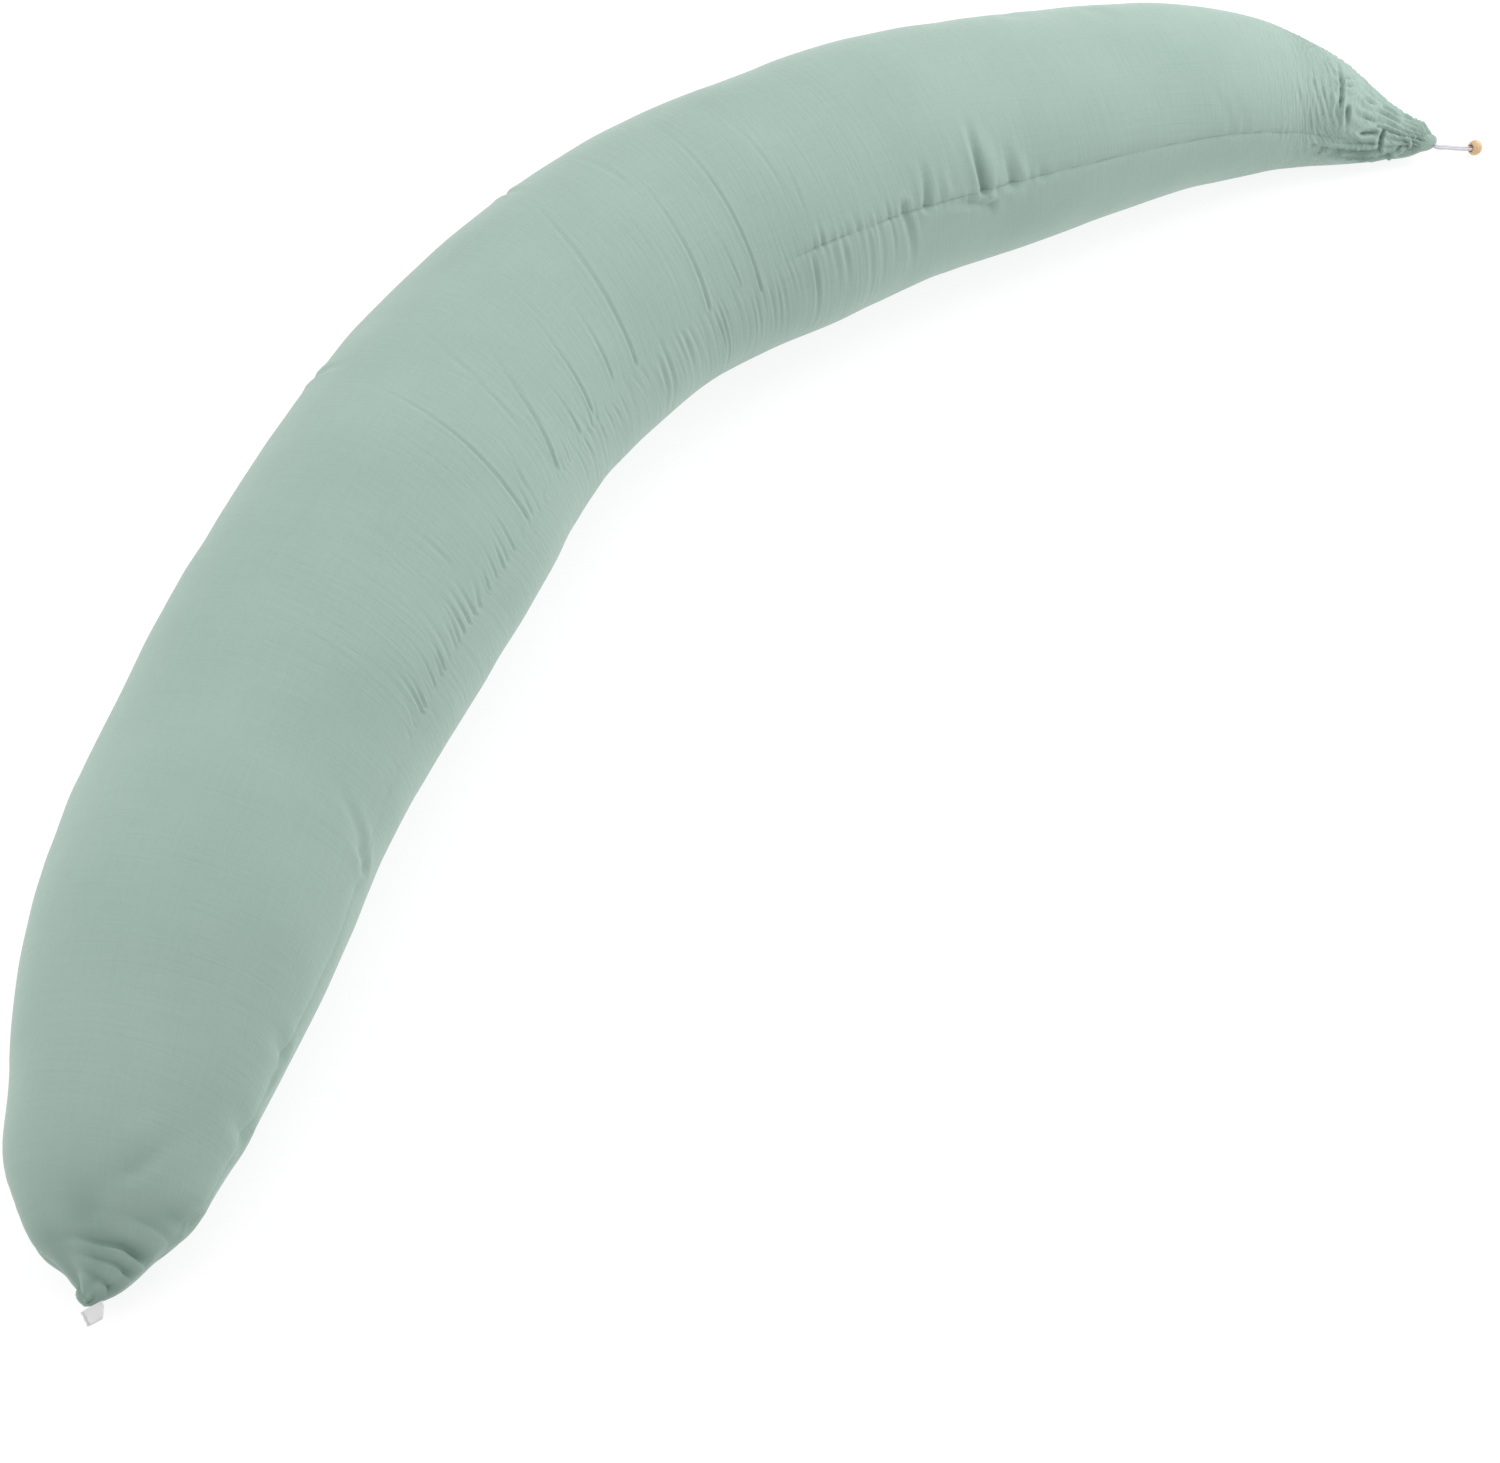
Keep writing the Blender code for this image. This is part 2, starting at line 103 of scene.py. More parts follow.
# %% The sections
Section = namedtuple("Section", "along x y half_width seam_turn")
SECTIONS = [Section(*row) for row in (
    (0.000, -0.826, 0.011, 0.0085, 0),
    (0.006, -0.8205, 0.0133, 0.0105, 0),
    (0.010, -0.8163, 0.0152, 0.0165, 0),
    (0.015, -0.811, 0.018, 0.025, 0),
    (0.032, -0.797, 0.029, 0.046, 0),
    (0.055, -0.778, 0.043, 0.064, 0),
    (0.090, -0.749, 0.064, 0.077, -2),
    (0.130, -0.715, 0.086, 0.087, -2),
    (0.180, -0.674, 0.114, 0.098, 0),
    (0.240, -0.628, 0.143, 0.107, 1),
    (0.380, -0.524, 0.205, 0.114, 12),
    (0.540, -0.390, 0.270, 0.122, 21),
    (0.700, -0.241, 0.333, 0.128, 21),
    (0.860, -0.093, 0.386, 0.126, 20),
    (1.020, 0.088, 0.403, 0.129, 22),
    (1.180, 0.239, 0.375, 0.131, 24),
    (1.340, 0.374, 0.338, 0.128, 20),
    (1.490, 0.508, 0.283, 0.118, 18),
    (1.620, 0.644, 0.223, 0.103, 14),
    (1.730, 0.745, 0.155, 0.081, 11),
    (1.780, 0.782, 0.114, 0.064, 10),
    (1.810, 0.803, 0.083, 0.050, 12),
    (1.835, 0.821, 0.055, 0.034, 18),
    (1.860, 0.835, 0.029, 0.0215, 24),
    (1.880, 0.8385, 0.0155, 0.0145, 26),
    (1.900, 0.8372, 0.0052, 0.007, 28),
)]
LENGTH = SECTIONS[-1].along
TABLE_TO_FRAME = np.array([-0.00993, -0.26169, 0.0])   # from the table's zero to the model's


def spline_through(knots, values, wanted):
    """Natural cubic spline: each span is a cubic, and its bends come from one linear system."""
    knots = np.asarray(knots, float)
    values = np.asarray(values, float)
    step = np.diff(knots)
    slope = np.diff(values) / step
    count = len(knots)
    system = np.eye(count)
    right = np.zeros(count)
    for row in range(1, count - 1):
        system[row, row - 1] = step[row - 1]
        system[row, row] = 2 * (step[row - 1] + step[row])
        system[row, row + 1] = step[row]
        right[row] = 6 * (slope[row] - slope[row - 1])
    bend = np.linalg.solve(system, right)
    span = np.clip(np.searchsorted(knots, wanted) - 1, 0, count - 2)
    after = wanted - knots[span]
    before = knots[span + 1] - wanted
    width = step[span]
    return (
        (bend[span] * before**3 + bend[span + 1] * after**3) / (6 * width)
        + (values[span] / width - bend[span] * width / 6) * before
        + (values[span + 1] / width - bend[span + 1] * width / 6) * after
    )


def column(name, wanted):
    """One column of the section table, read smoothly at the wanted places."""
    knots = [section.along for section in SECTIONS]
    values = [getattr(section, name) for section in SECTIONS]
    return spline_through(knots, values, wanted)


def smooth_step(value):
    """0 below 0, 1 above 1, and 3v^2 - 2v^3 between."""
    share = np.clip(value, 0.0, 1.0)
    return share * share * (3 - 2 * share)


def zone(value, start, rise, end, fall):
    """0 before start, 1 from start + rise, and 0 again from end + fall."""
    return smooth_step((value - start) / rise) * (1 - smooth_step((value - end) / fall))


print(len(SECTIONS), "sections over", LENGTH, "m")

# %% [markdown]
# ## The draw cord
#
# Two soft round strands leave the drawn-in tip side by side and end in the bead's bore.
# A curve with a round bevel could do, but a braid has a diamond relief. So each strand is
# a circle carried along its line, with a radius that rises where the threads cross. The
# route is short and seen from the tip to the bead, so its length is what it measures.

# %% The cord's route
CORD_ROUTE = (   # x and y from the middle of the far tip, in the order tip to bead
    (-0.0010, -0.0010, 0.0245),
    (0.0016, -0.0052, 0.0235),
    (0.0072, -0.0080, 0.0218),
    (0.0150, -0.0114, 0.0187),
    (0.0245, -0.0155, 0.0148),
    (0.0345, -0.0198, 0.0112),
    (0.0502, -0.0264, 0.0076),
)
STRAND_DIAMETER = 0.0028
STRAND_GAP = 0.0004


def cord_line(shares):
    """Points of the middle between the strands, at shares of the cord's length."""
    far_tip = np.array([SECTIONS[-1].x, SECTIONS[-1].y, 0.0])
    route = np.array(CORD_ROUTE) + far_tip + TABLE_TO_FRAME
    lengths = np.linalg.norm(np.diff(route, axis=0), axis=1)
    knots = np.concatenate([[0.0], np.cumsum(lengths)])
    wanted = np.asarray(shares) * knots[-1]
    return np.stack([spline_through(knots, route[:, axis], wanted) for axis in range(3)], axis=1)


def strand_line(side, count):
    """The cord's line moved sideways on the level by half a strand and half the gap."""
    line = cord_line(np.linspace(0, 1, count))
    run = np.gradient(line, axis=0)
    level = np.stack([-run[:, 1], run[:, 0], np.zeros(len(run))], axis=1)
    level /= np.linalg.norm(level, axis=1, keepdims=True)
    return line + side * (STRAND_DIAMETER + STRAND_GAP) / 2 * level


def length_of(points):
    """Sum of the distances from point to point."""
    return float(np.linalg.norm(np.diff(points, axis=0), axis=1).sum())


print("cord runs", in_mm(length_of(cord_line(np.linspace(0, 1, 60)))), "mm")

# %% [markdown]
# ## From arrays to a mesh
#
# Every surface here is a grid of points. One helper joins neighbours into four-sided
# faces, can wrap the columns into a tube and close both ends, and stores a UV map and the
# named values that the finishes read. All of it is whole-array work.

# %% A helper that turns a grid into a piece
def grid_faces(rows, columns, wrap, ring):
    """Corner numbers of each face: (r, c), (r+1, c), (r+1, c+1), (r, c+1)."""
    row = np.arange(rows if ring else rows - 1)[:, None]
    col = np.arange(columns if wrap else columns - 1)[None, :]
    below = (row + 1) % rows
    after = (col + 1) % columns
    corners = [row * columns + col, below * columns + col]
    corners += [below * columns + after, row * columns + after]
    return np.stack(corners, axis=-1).reshape(-1, 4)


def add_grid_piece(name, points, uv=None, wrap=False, ring=False, ends=None, values=None):
    """A smooth mesh object from a grid of points.

    wrap joins the last column to the first, and ring the last row to the first. uv has
    one more column where they join. ends are two points that close the first and last
    row. values are named arrays with a number for each point.
    """
    rows, columns = points.shape[:2]
    places = points.reshape(-1, 3)
    quads = grid_faces(rows, columns, wrap, ring)
    faces = quads.tolist()
    row = quads[:, 0] // columns
    col = quads[:, 0] % columns
    corner_uv = None
    if uv is not None:
        corner_uv = [uv[row, col], uv[row + 1, col], uv[row + 1, col + 1], uv[row, col + 1]]
        corner_uv = np.stack(corner_uv, axis=1).reshape(-1, 2)
    if ends is not None:
        here = np.arange(columns)
        after = (here + 1) % columns
        first = np.stack([np.full(columns, rows * columns), here, after], axis=1)
        last = np.stack([np.full(columns, rows * columns + 1), after, here], axis=1)
        last[:, 1:] += (rows - 1) * columns
        faces += first.tolist() + last.tolist()
        places = np.concatenate([places, np.asarray(ends)])
        if uv is not None:
            for line, order in ((uv[0], (0, 1)), (uv[-1], (1, 0))):
                pair = np.stack([line[:-1], line[1:]], axis=1)
                fan = np.stack([pair.mean(axis=1), pair[:, order[0]], pair[:, order[1]]], axis=1)
                corner_uv = np.concatenate([corner_uv, fan.reshape(-1, 2)])
    mesh = bpy.data.meshes.new(name)
    mesh.from_pydata(places, [], faces)
    if uv is not None:
        mesh.uv_layers.new(name="cloth").data.foreach_set("uv", corner_uv.ravel())
    for label, numbers in (values or {}).items():
        numbers = np.concatenate([np.ravel(numbers), np.zeros(len(places) - rows * columns)])
        mesh.attributes.new(label, "FLOAT", "POINT").data.foreach_set("value", numbers)
    mesh.shade_smooth()
    mesh.validate()
    piece = bpy.data.objects.new(name, mesh)
    bpy.context.scene.collection.objects.link(piece)
    print(name, "has", len(mesh.polygons), "faces")
    return piece


def tube(line, radius, sides):
    """Circle carried square to a line. radius is one number for each row and side."""
    run = np.gradient(line, axis=0)
    run /= np.linalg.norm(run, axis=1, keepdims=True)
    level = np.cross(run, (0.0, 0.0, 1.0))
    level /= np.linalg.norm(level, axis=1, keepdims=True)
    upward = np.cross(level, run)
    angle = 2 * pi * np.arange(sides) / sides
    spoke = level[:, None] * np.cos(angle)[None, :, None]
    spoke = spoke + upward[:, None] * np.sin(angle)[None, :, None]
    return line[:, None] + spoke * radius[..., None]


print("a sheet of 3 by 4 points has", len(grid_faces(3, 4, False, False)), "faces")


# %% [markdown]
# ## The two strands
#
# A braid's relief is the product of two spirals that run opposite ways: it is high where
# their crests cross. Both ends are rounded off and closed.

# %% Make the strands
STRAND_ROWS = 151
STRAND_SIDES = 24
BRAID_PITCH = 0.0034
BRAID_RELIEF = 0.00012
BRAID_THREADS = 4
STRAND_END_LEAST = 0.09   # of the squared radius, left at the very end


def make_strand(name, side):
    """Tube of radius r + relief * cos(n a + s) * cos(n a - s), tapered to its ends."""
    line = strand_line(side, STRAND_ROWS)
    steps = np.linalg.norm(np.diff(line, axis=0), axis=1)
    along = np.concatenate([[0.0], np.cumsum(steps)])[:, None]
    angle = (2 * pi * np.arange(STRAND_SIDES + 1) / STRAND_SIDES)[None, :]
    turn = 2 * pi * along / BRAID_PITCH
    relief = np.cos(BRAID_THREADS * angle + turn) * np.cos(BRAID_THREADS * angle - turn)
    full = STRAND_DIAMETER / 2
    to_end = np.minimum(along, along[-1] - along)
    rounding = np.sqrt(np.clip(1 - (1 - np.clip(to_end / full, 0, 1)) ** 2, STRAND_END_LEAST, 1))
    radius = (full - BRAID_RELIEF / 2 + BRAID_RELIEF * relief) * rounding
    points = tube(line, radius[:, :-1], STRAND_SIDES)
    uv = np.stack(np.broadcast_arrays(along, angle * full), axis=-1)
    piece = add_grid_piece(name, points, uv, wrap=True, ends=line[[0, -1]])
    return piece, line


strands = {}
for number, side in ((1, -1), (2, 1)):
    strands[number] = make_strand(f"draw_cord_{number}", side)

# %% [markdown]
# ## The bead
#
# The bead was turned on a lathe from pale wood: a barrel with a bore, its rims eased. A
# turned thing is a profile spun round its axis, so the profile is a closed loop of
# (radius, height) pairs and the surface is that loop carried round a circle. The turning
# tool leaves rings a few hundredths of a millimetre deep.

# %% Make the bead
BEAD_RADIUS = 0.0075
BEAD_LENGTH = 0.0115
BEAD_BORE_RADIUS = 0.0034
BEAD_EASE = 0.0009
BEAD_FROM_CORD_END = 0.0042
BEAD_AIM_FROM = 0.9       # share of the cord's length from which the bead takes its direction
TOOL_RIPPLE = 0.00004
TOOL_STEP = 0.00045       # metres for each radian of the ripple
BEAD_SIDES = 64
BARREL_POINTS = 41
RIM_POINTS = 6


def bead_outline():
    """Barrel arc outside, quarter rounds at both rims, straight bore inside."""
    half = BEAD_LENGTH / 2
    widest = np.arccos((BEAD_BORE_RADIUS + BEAD_EASE) / BEAD_RADIUS)
    angle = np.linspace(-widest, widest, BARREL_POINTS)
    height = half * np.sin(angle) / np.sin(widest)
    barrel = np.stack([BEAD_RADIUS * np.cos(angle), height], axis=1)
    barrel[:, 0] += TOOL_RIPPLE * np.sin(height / TOOL_STEP)
    quarter = np.linspace(0, pi / 2, RIM_POINTS)[1:]
    rim = BEAD_BORE_RADIUS + BEAD_EASE * (1 - np.sin(quarter))
    fall = BEAD_EASE * (1 - np.cos(quarter))
    upper = np.stack([rim, half - fall], axis=1)
    lower = np.stack([rim[::-1], fall[::-1] - half], axis=1)
    return np.concatenate([barrel, upper, lower])


def make_bead():
    """The outline spun round the line of the cord's last tenth."""
    inside, cut = cord_line([BEAD_AIM_FROM, 1.0])
    axis = (cut - inside) / np.linalg.norm(cut - inside)
    centre = cut - axis * BEAD_FROM_CORD_END
    level = np.cross(axis, (0.0, 0.0, 1.0))
    level /= np.linalg.norm(level)
    upward = np.cross(level, axis)
    outline = bead_outline()
    angle = 2 * pi * np.arange(BEAD_SIDES) / BEAD_SIDES
    spoke = level[None] * np.cos(angle)[:, None] + upward[None] * np.sin(angle)[:, None]
    points = centre + outline[:, None, :1] * spoke[None] + outline[:, None, 1:] * axis
    return add_grid_piece("turned_bead", points, wrap=True, ring=True)


bead = make_bead()

# %% [markdown]
# ## The folded tape
#
# A short piece of white woven tape is folded double and caught in the near tip. A strip
# could be simulated as cloth, but its fold is plain to see, so its surface has two
# parameters: how far along the fold, and how far round the strip's thin section. The
# upper layer is pulled sideways, the corners curl up, and the woven edges wander.

# %% Make the tape
TAPE_ROOT = (-0.83405, -0.25605, 0.0181)   # middle of its open end, tucked into the tip
TAPE_HEADING = 255.0      # degrees from +X, seen from above
TAPE_PITCH = 15.0         # degrees below level
TAPE_WIDTH = 0.013
TAPE_FOLDED_LENGTH = 0.011
TAPE_THICKNESS = 0.0007
TAPE_LAYER_RISE = 0.0009  # from the fold's middle to the middle of a layer
TAPE_SKEW = 0.0010        # sideways pull of the upper layer
TAPE_CURL = 0.0006
TAPE_CORNER_IN = 0.0036   # one corner of the fold is drawn in and turned up
TAPE_CORNER_UP = 0.0012
TAPE_WANDER = 0.00022
TAPE_WANDER_STEP = 0.00075   # metres for each radian of the wander
TAPE_SQUARE = 0.45        # power that squares the thin section: 1 is an ellipse, 0 a box
TAPE_ROWS = 70
TAPE_SIDES = 56

tape_straight = TAPE_FOLDED_LENGTH - TAPE_LAYER_RISE - TAPE_THICKNESS / 2
tape_cut_length = 2 * tape_straight + pi * TAPE_LAYER_RISE


def make_tape():
    """Flat section carried out along the upper layer, round the bend and back."""
    heading = radians(TAPE_HEADING)
    pitch = radians(TAPE_PITCH)
    out = np.array([np.cos(heading) * np.cos(pitch), np.sin(heading) * np.cos(pitch), -np.sin(pitch)])
    across = np.array([-np.sin(heading), np.cos(heading), 0.0])
    upward = np.cross(out, across)
    along = np.linspace(0, tape_cut_length, TAPE_ROWS)[:, None]
    bend = np.clip((along - tape_straight) / TAPE_LAYER_RISE, 0, pi)
    reach = np.where(bend < pi, np.minimum(along, tape_straight), tape_cut_length - along)
    turn = 2 * pi * np.arange(TAPE_SIDES + 1)[None, :] / TAPE_SIDES
    wide = np.sign(np.cos(turn)) * np.abs(np.cos(turn)) ** TAPE_SQUARE
    thick = np.sign(np.sin(turn)) * np.abs(np.sin(turn)) ** TAPE_SQUARE * TAPE_THICKNESS / 2
    layer = TAPE_LAYER_RISE * np.cos(bend)
    wander = TAPE_WANDER * np.sin(along / TAPE_WANDER_STEP + 2 * np.sign(wide)) * np.abs(wide)
    outer = (reach / tape_straight) ** 2
    corner = outer * np.clip(wide, 0, 1) ** 2
    place_out = reach + (TAPE_LAYER_RISE + thick) * np.sin(bend)
    place_up = layer + thick * np.cos(bend) + TAPE_CURL * wide**4 * outer + TAPE_CORNER_UP * corner
    place_across = wide * (TAPE_WIDTH / 2 + wander) + TAPE_SKEW * layer / TAPE_LAYER_RISE
    place_across -= TAPE_CORNER_IN * corner
    points = np.array(TAPE_ROOT) + np.zeros((TAPE_ROWS, TAPE_SIDES + 1, 1))
    for place, direction in ((place_out, out), (place_across, across), (place_up, upward)):
        points = points + place[..., None] * direction
    uv = np.stack(np.broadcast_arrays(along, wide * TAPE_WIDTH / 2), axis=-1)
    closing = points[[0, -1], :-1].mean(axis=1)
    return add_grid_piece("end_tape", points[:, -2::-1], uv[:, ::-1], wrap=True, ends=closing)


tape = make_tape()
print("tape was cut", in_mm(tape_cut_length), "mm long")

# %% [markdown]
# ## The pillow's plain form
#
# Filled cloth settles into a rounded section that the floor presses flat. So a section is
# an ellipse a little lower than wide, its middle just under half its height above the
# floor, and what would go below the floor is held at the floor. Both tips stay a little
# off it. Everything finer is an inset: how far the cloth is drawn in from this form,
# along the ellipse's outward direction.
#
# Rings and lines lie closer together where the cloth is puckered or sewn, so the faces go
# where the detail is. In the bend the rings lean forward as they leave the inner seam, as
# the creases there do, because faces that run with a thin crease draw it best.

# %% Rings and turns
RING_STRETCHES = (   # start, end, spacing
    (0.000, 0.060, 0.0013),
    (0.060, 0.330, 0.0060),
    (0.330, 0.460, 0.0033),
    (0.460, 1.150, 0.00117),
    (1.150, 1.250, 0.0016),
    (1.250, 1.450, 0.0026),
    (1.450, 1.720, 0.0060),
    (1.720, LENGTH, 0.0011),
)
TURN_STRETCHES = (   # degrees from the inner seam
    (0, 9, 1.3),
    (9, 102, 3.3),
    (102, 171, 7.0),
    (171, 189, 2.25),
    (189, 300, 11.0),
    (300, 351, 3.6),
    (351, 360, 1.3),
)
LEAN_PLACES = (0.36, 0.60, 0.85, 1.12, 1.25)
LEAN_AMOUNTS = (0.0, 0.25, 0.30, 0.03, 0.0)   # metres forward for each metre around
LEAN_UNTIL = 130          # degrees from the inner seam
HEIGHT_TO_WIDTH = 0.84
FLATTENING = 0.12         # share of the half height that the floor presses away
NEAR_TIP_HEIGHT = 0.016
FAR_TIP_HEIGHT = 0.0235
TIP_LIFT_LENGTH = 0.06
TIP_CAP_BULGE = 0.5       # of half the end ring's height
NEAR_NOSE = 0.005         # over which the near tip is rounded off
FAR_NOSE = 0.011          # and the far one
NOSE_LEAST = 0.12         # of the squared half width, left at the very tip
ROUND_RADIUS_SHARE = 0.92   # mean radius of the ellipse, as a share of its half width
RUN_STEP = 0.0005         # to either side, to measure which way the middle line runs


def laid_out(stretches):
    """Places at an even spacing within each stretch, from the first start to the last end."""
    places = [np.array([stretches[0][0]], float)]
    for start, end, spacing in stretches:
        places.append(np.linspace(start, end, round((end - start) / spacing) + 1)[1:])
    return np.concatenate(places)


def middle_line(along):
    """The middle line seen from above, its run and its outward side direction."""
    line = np.stack([column("x", along), column("y", along)], axis=-1)
    ahead = np.minimum(along + RUN_STEP, LENGTH)
    behind = np.maximum(along - RUN_STEP, 0.0)
    run = np.stack([column(name, ahead) - column(name, behind) for name in ("x", "y")], axis=-1)
    run /= np.linalg.norm(run, axis=-1, keepdims=True)
    return line, run, np.stack([-run[..., 1], run[..., 0]], axis=-1)


ring_place = laid_out(RING_STRETCHES)[:, None]
off_seam = laid_out(TURN_STRETCHES)[None, :-1]
lean = np.interp(ring_place, LEAN_PLACES, LEAN_AMOUNTS)
lean_arc = np.radians(np.minimum(np.minimum(off_seam, 360 - off_seam), LEAN_UNTIL))
along = ring_place + lean * lean_arc * ROUND_RADIUS_SHARE * column("half_width", ring_place)
ring_place = ring_place + np.zeros_like(along)
seam_turn = column("seam_turn", along)
from_end = np.minimum(np.minimum(along / NEAR_NOSE, (LENGTH - along) / FAR_NOSE), 1.0)
half_width = column("half_width", along) * np.sqrt(np.maximum(1 - (1 - from_end) ** 2, NOSE_LEAST))
radius = half_width * ROUND_RADIUS_SHARE
turn = (column("seam_turn", ring_place) + off_seam + 90) % 360 - 90
print(turn.shape[0], "rings of", turn.shape[1], "points")

# %% [markdown]
# ## Unevenness
#
# Nothing sewn by hand is regular. A lattice of random heights, read smoothly in between,
# gives soft unevenness of any size, and a fixed seed gives the same pillow each time.

# %% Soft unevenness
LATTICE = 64              # random heights each way, after which they repeat
LUMP_DEPTH = 0.0016
SMALL_LUMP_SHARE = 0.4    # of the depth
LUMPS_FULL_FROM = 0.08    # half width from which they are full
UNEVEN = {                # size in metres along and degrees around, seed
    "lumps": (0.085, 38.0, 4),
    "small lumps": (0.034, 21.0, 9),
    "seam": (0.021, np.inf, 6),
    "ripple phase": (0.03, np.inf, 2),
    "ripple depth": (0.05, 60.0, 3),
    "near gathers": (0.02, 50.0, 5),
    "far gathers": (0.03, 34.0, 21),
    "crinkle phase": (0.022, 26.0, 11),
    "crinkle depth": (0.018, 22.0, 12),
}


def uneven(label, further_seed=0):
    """Random lattice values from -1 to 1, blended by a smooth step in both directions."""
    cell_along, cell_around, seed = UNEVEN[label]
    lattice = np.random.default_rng(seed + further_seed).uniform(-1, 1, (LATTICE, LATTICE))
    first = along / cell_along
    second = turn / cell_around
    row = np.floor(first).astype(int)
    col = np.floor(second).astype(int)
    rise = smooth_step(first - row)
    shift = smooth_step(second - col)
    sides = []
    for here in (col % LATTICE, (col + 1) % LATTICE):
        upper = lattice[row % LATTICE, here]
        lower = lattice[(row + 1) % LATTICE, here]
        sides.append(upper * (1 - rise) + lower * rise)
    return sides[0] * (1 - shift) + sides[1] * shift


lumps = LUMP_DEPTH * uneven("lumps")
lumps += SMALL_LUMP_SHARE * LUMP_DEPTH * uneven("small lumps")
lumps *= smooth_step(half_width / LUMPS_FULL_FROM)
print("filling is uneven by", in_mm(np.ptp(lumps)), "mm")

# %% [markdown]
# ## The seams
#
# Where two panels meet, the stitches pull the cloth in. A seam is three insets of
# different width: a broad draw-in that the solid has too, a narrow groove, and a ripple
# from the thread's tension that dies out a centimetre away. It shows as a line only where
# the cloth is tight over it, as along the outer side. Inside the bend the spare cloth
# rolls over the inner seam and all but hides it.

# %% Draw in the seams
SEAM_DEPTH = 0.0017
SEAM_WIDTH = 0.0045
SEAM_FULL_FROM = 0.06
SEAM_WANDER = 0.0011
GROOVE_DEPTH = 0.0006
GROOVE_WIDTH = 0.0014
RIPPLE_PITCH = 0.0115
RIPPLE_DEPTH = 0.0004
RIPPLE_REACH = 0.009
RIPPLE_DRIFT = 0.8        # turns by which its phase wanders
RIPPLE_CHANGE = 0.6       # share by which its depth changes
PULL_PLACES = (0.0, 0.10, 0.30, 0.42, 1.08, 1.16, 1.72, 1.79, LENGTH)
PULL_AMOUNTS = (0.0, 0.45, 0.45, 0.12, 0.12, 1.0, 1.0, 0.6, 0.1)   # how plainly the inner seam shows
OUTER_PULL = 0.9


def from_seam(opposite):
    """Metres around the section from a seam: 0 for the inner one, 180 for the outer one."""
    off = (turn - seam_turn - opposite + 180) % 360 - 180
    return np.radians(off) * radius + SEAM_WANDER * uneven("seam")


inner_distance = np.abs(from_seam(0))
outer_distance = np.abs(from_seam(180))
seam_distance = np.minimum(inner_distance, outer_distance)
pull = np.interp(along, PULL_PLACES, PULL_AMOUNTS)
pull = np.where(outer_distance < inner_distance, OUTER_PULL, pull)
seam_share = smooth_step(half_width / SEAM_FULL_FROM) * pull
draw_in = SEAM_DEPTH * np.exp(-seam_distance / SEAM_WIDTH)
groove = GROOVE_DEPTH * np.exp(-((seam_distance / GROOVE_WIDTH) ** 2))
ripple_phase = along / RIPPLE_PITCH + RIPPLE_DRIFT * uneven("ripple phase")
ripple = RIPPLE_DEPTH * (1 + RIPPLE_CHANGE * uneven("ripple depth"))
ripple *= np.cos(2 * pi * ripple_phase) * np.exp(-((seam_distance / RIPPLE_REACH) ** 2))
seams = (draw_in + groove + ripple) * seam_share
print("seams draw in", in_mm(seams.max()), "mm")

# %% [markdown]
# ## Creases and puckers
#
# A cloth simulation can't easily be told where each wrinkle goes, so these are placed by
# formula. Seen across, a crease is a soft trough with a low lip on either side, where the
# trough's cloth went. The lip closes round the start like the rim of a tongue, and the crease
# fades towards its end. It starts at once, as beside a seam, or grows in over a share of
# its reach. A negative depth gives a ridge. The big ones are in the solid too. Places are
# in metres and degrees, and a crease's width, depth and bow in millimetres.

# %% The crease formula
Crease = namedtuple("Crease", "along turn end_along end_turn width depth bow grow", defaults=(0.0, 0.0))
MM = 0.001
CREASE_FADE_FROM = 0.15  # share of its reach from which it fades
LIP_WIDTH = 1.0          # of the trough's width
LIP_OFF = 1.75           # from the trough's line, in trough widths
LIP_HEIGHT = 0.38        # of the trough's depth


def radius_at(place):
    """Mean radius of the section at one place along the pillow."""
    return float(column("half_width", np.array([place]))[0]) * ROUND_RADIUS_SHARE


def crease_inset(crease):
    """Trough exp(-(d/w)^2) less a lip around it, times a fade along its line.

    d is the distance from a bowed line between the crease's two places, measured on the
    cloth laid flat, where one axis is along the pillow and the other around it. Before the
    line's start it is the distance from the start.
    """
    start = np.array([crease.along, radians(crease.turn) * radius_at(crease.along)])
    end = np.array([crease.end_along, radians(crease.end_turn) * radius_at(crease.end_along)])
    reach = float(np.linalg.norm(end - start))
    line = (end - start) / reach
    off_along = along - start[0]
    off_around = np.radians(turn) * radius - start[1]
    share = (off_along * line[0] + off_around * line[1]) / reach
    held = np.clip(share, 0, 1)
    aside = off_along * line[1] - off_around * line[0] - crease.bow * MM * 4 * held * (1 - held)
    before = np.maximum(-share, 0) * reach
    distance = np.hypot(aside, before) / (crease.width * MM)
    trough = np.exp(-(distance**2))
    lips = np.exp(-(((distance - LIP_OFF) / LIP_WIDTH) ** 2))
    fade = 1 - smooth_step((share - CREASE_FADE_FROM) / (1 - CREASE_FADE_FROM))
    if crease.grow:
        fade = fade * smooth_step(share / crease.grow)
    return crease.depth * MM * (trough - LIP_HEIGHT * lips) * fade


print("at 1 m the section's mean radius is", in_mm(radius_at(1.0)), "mm")
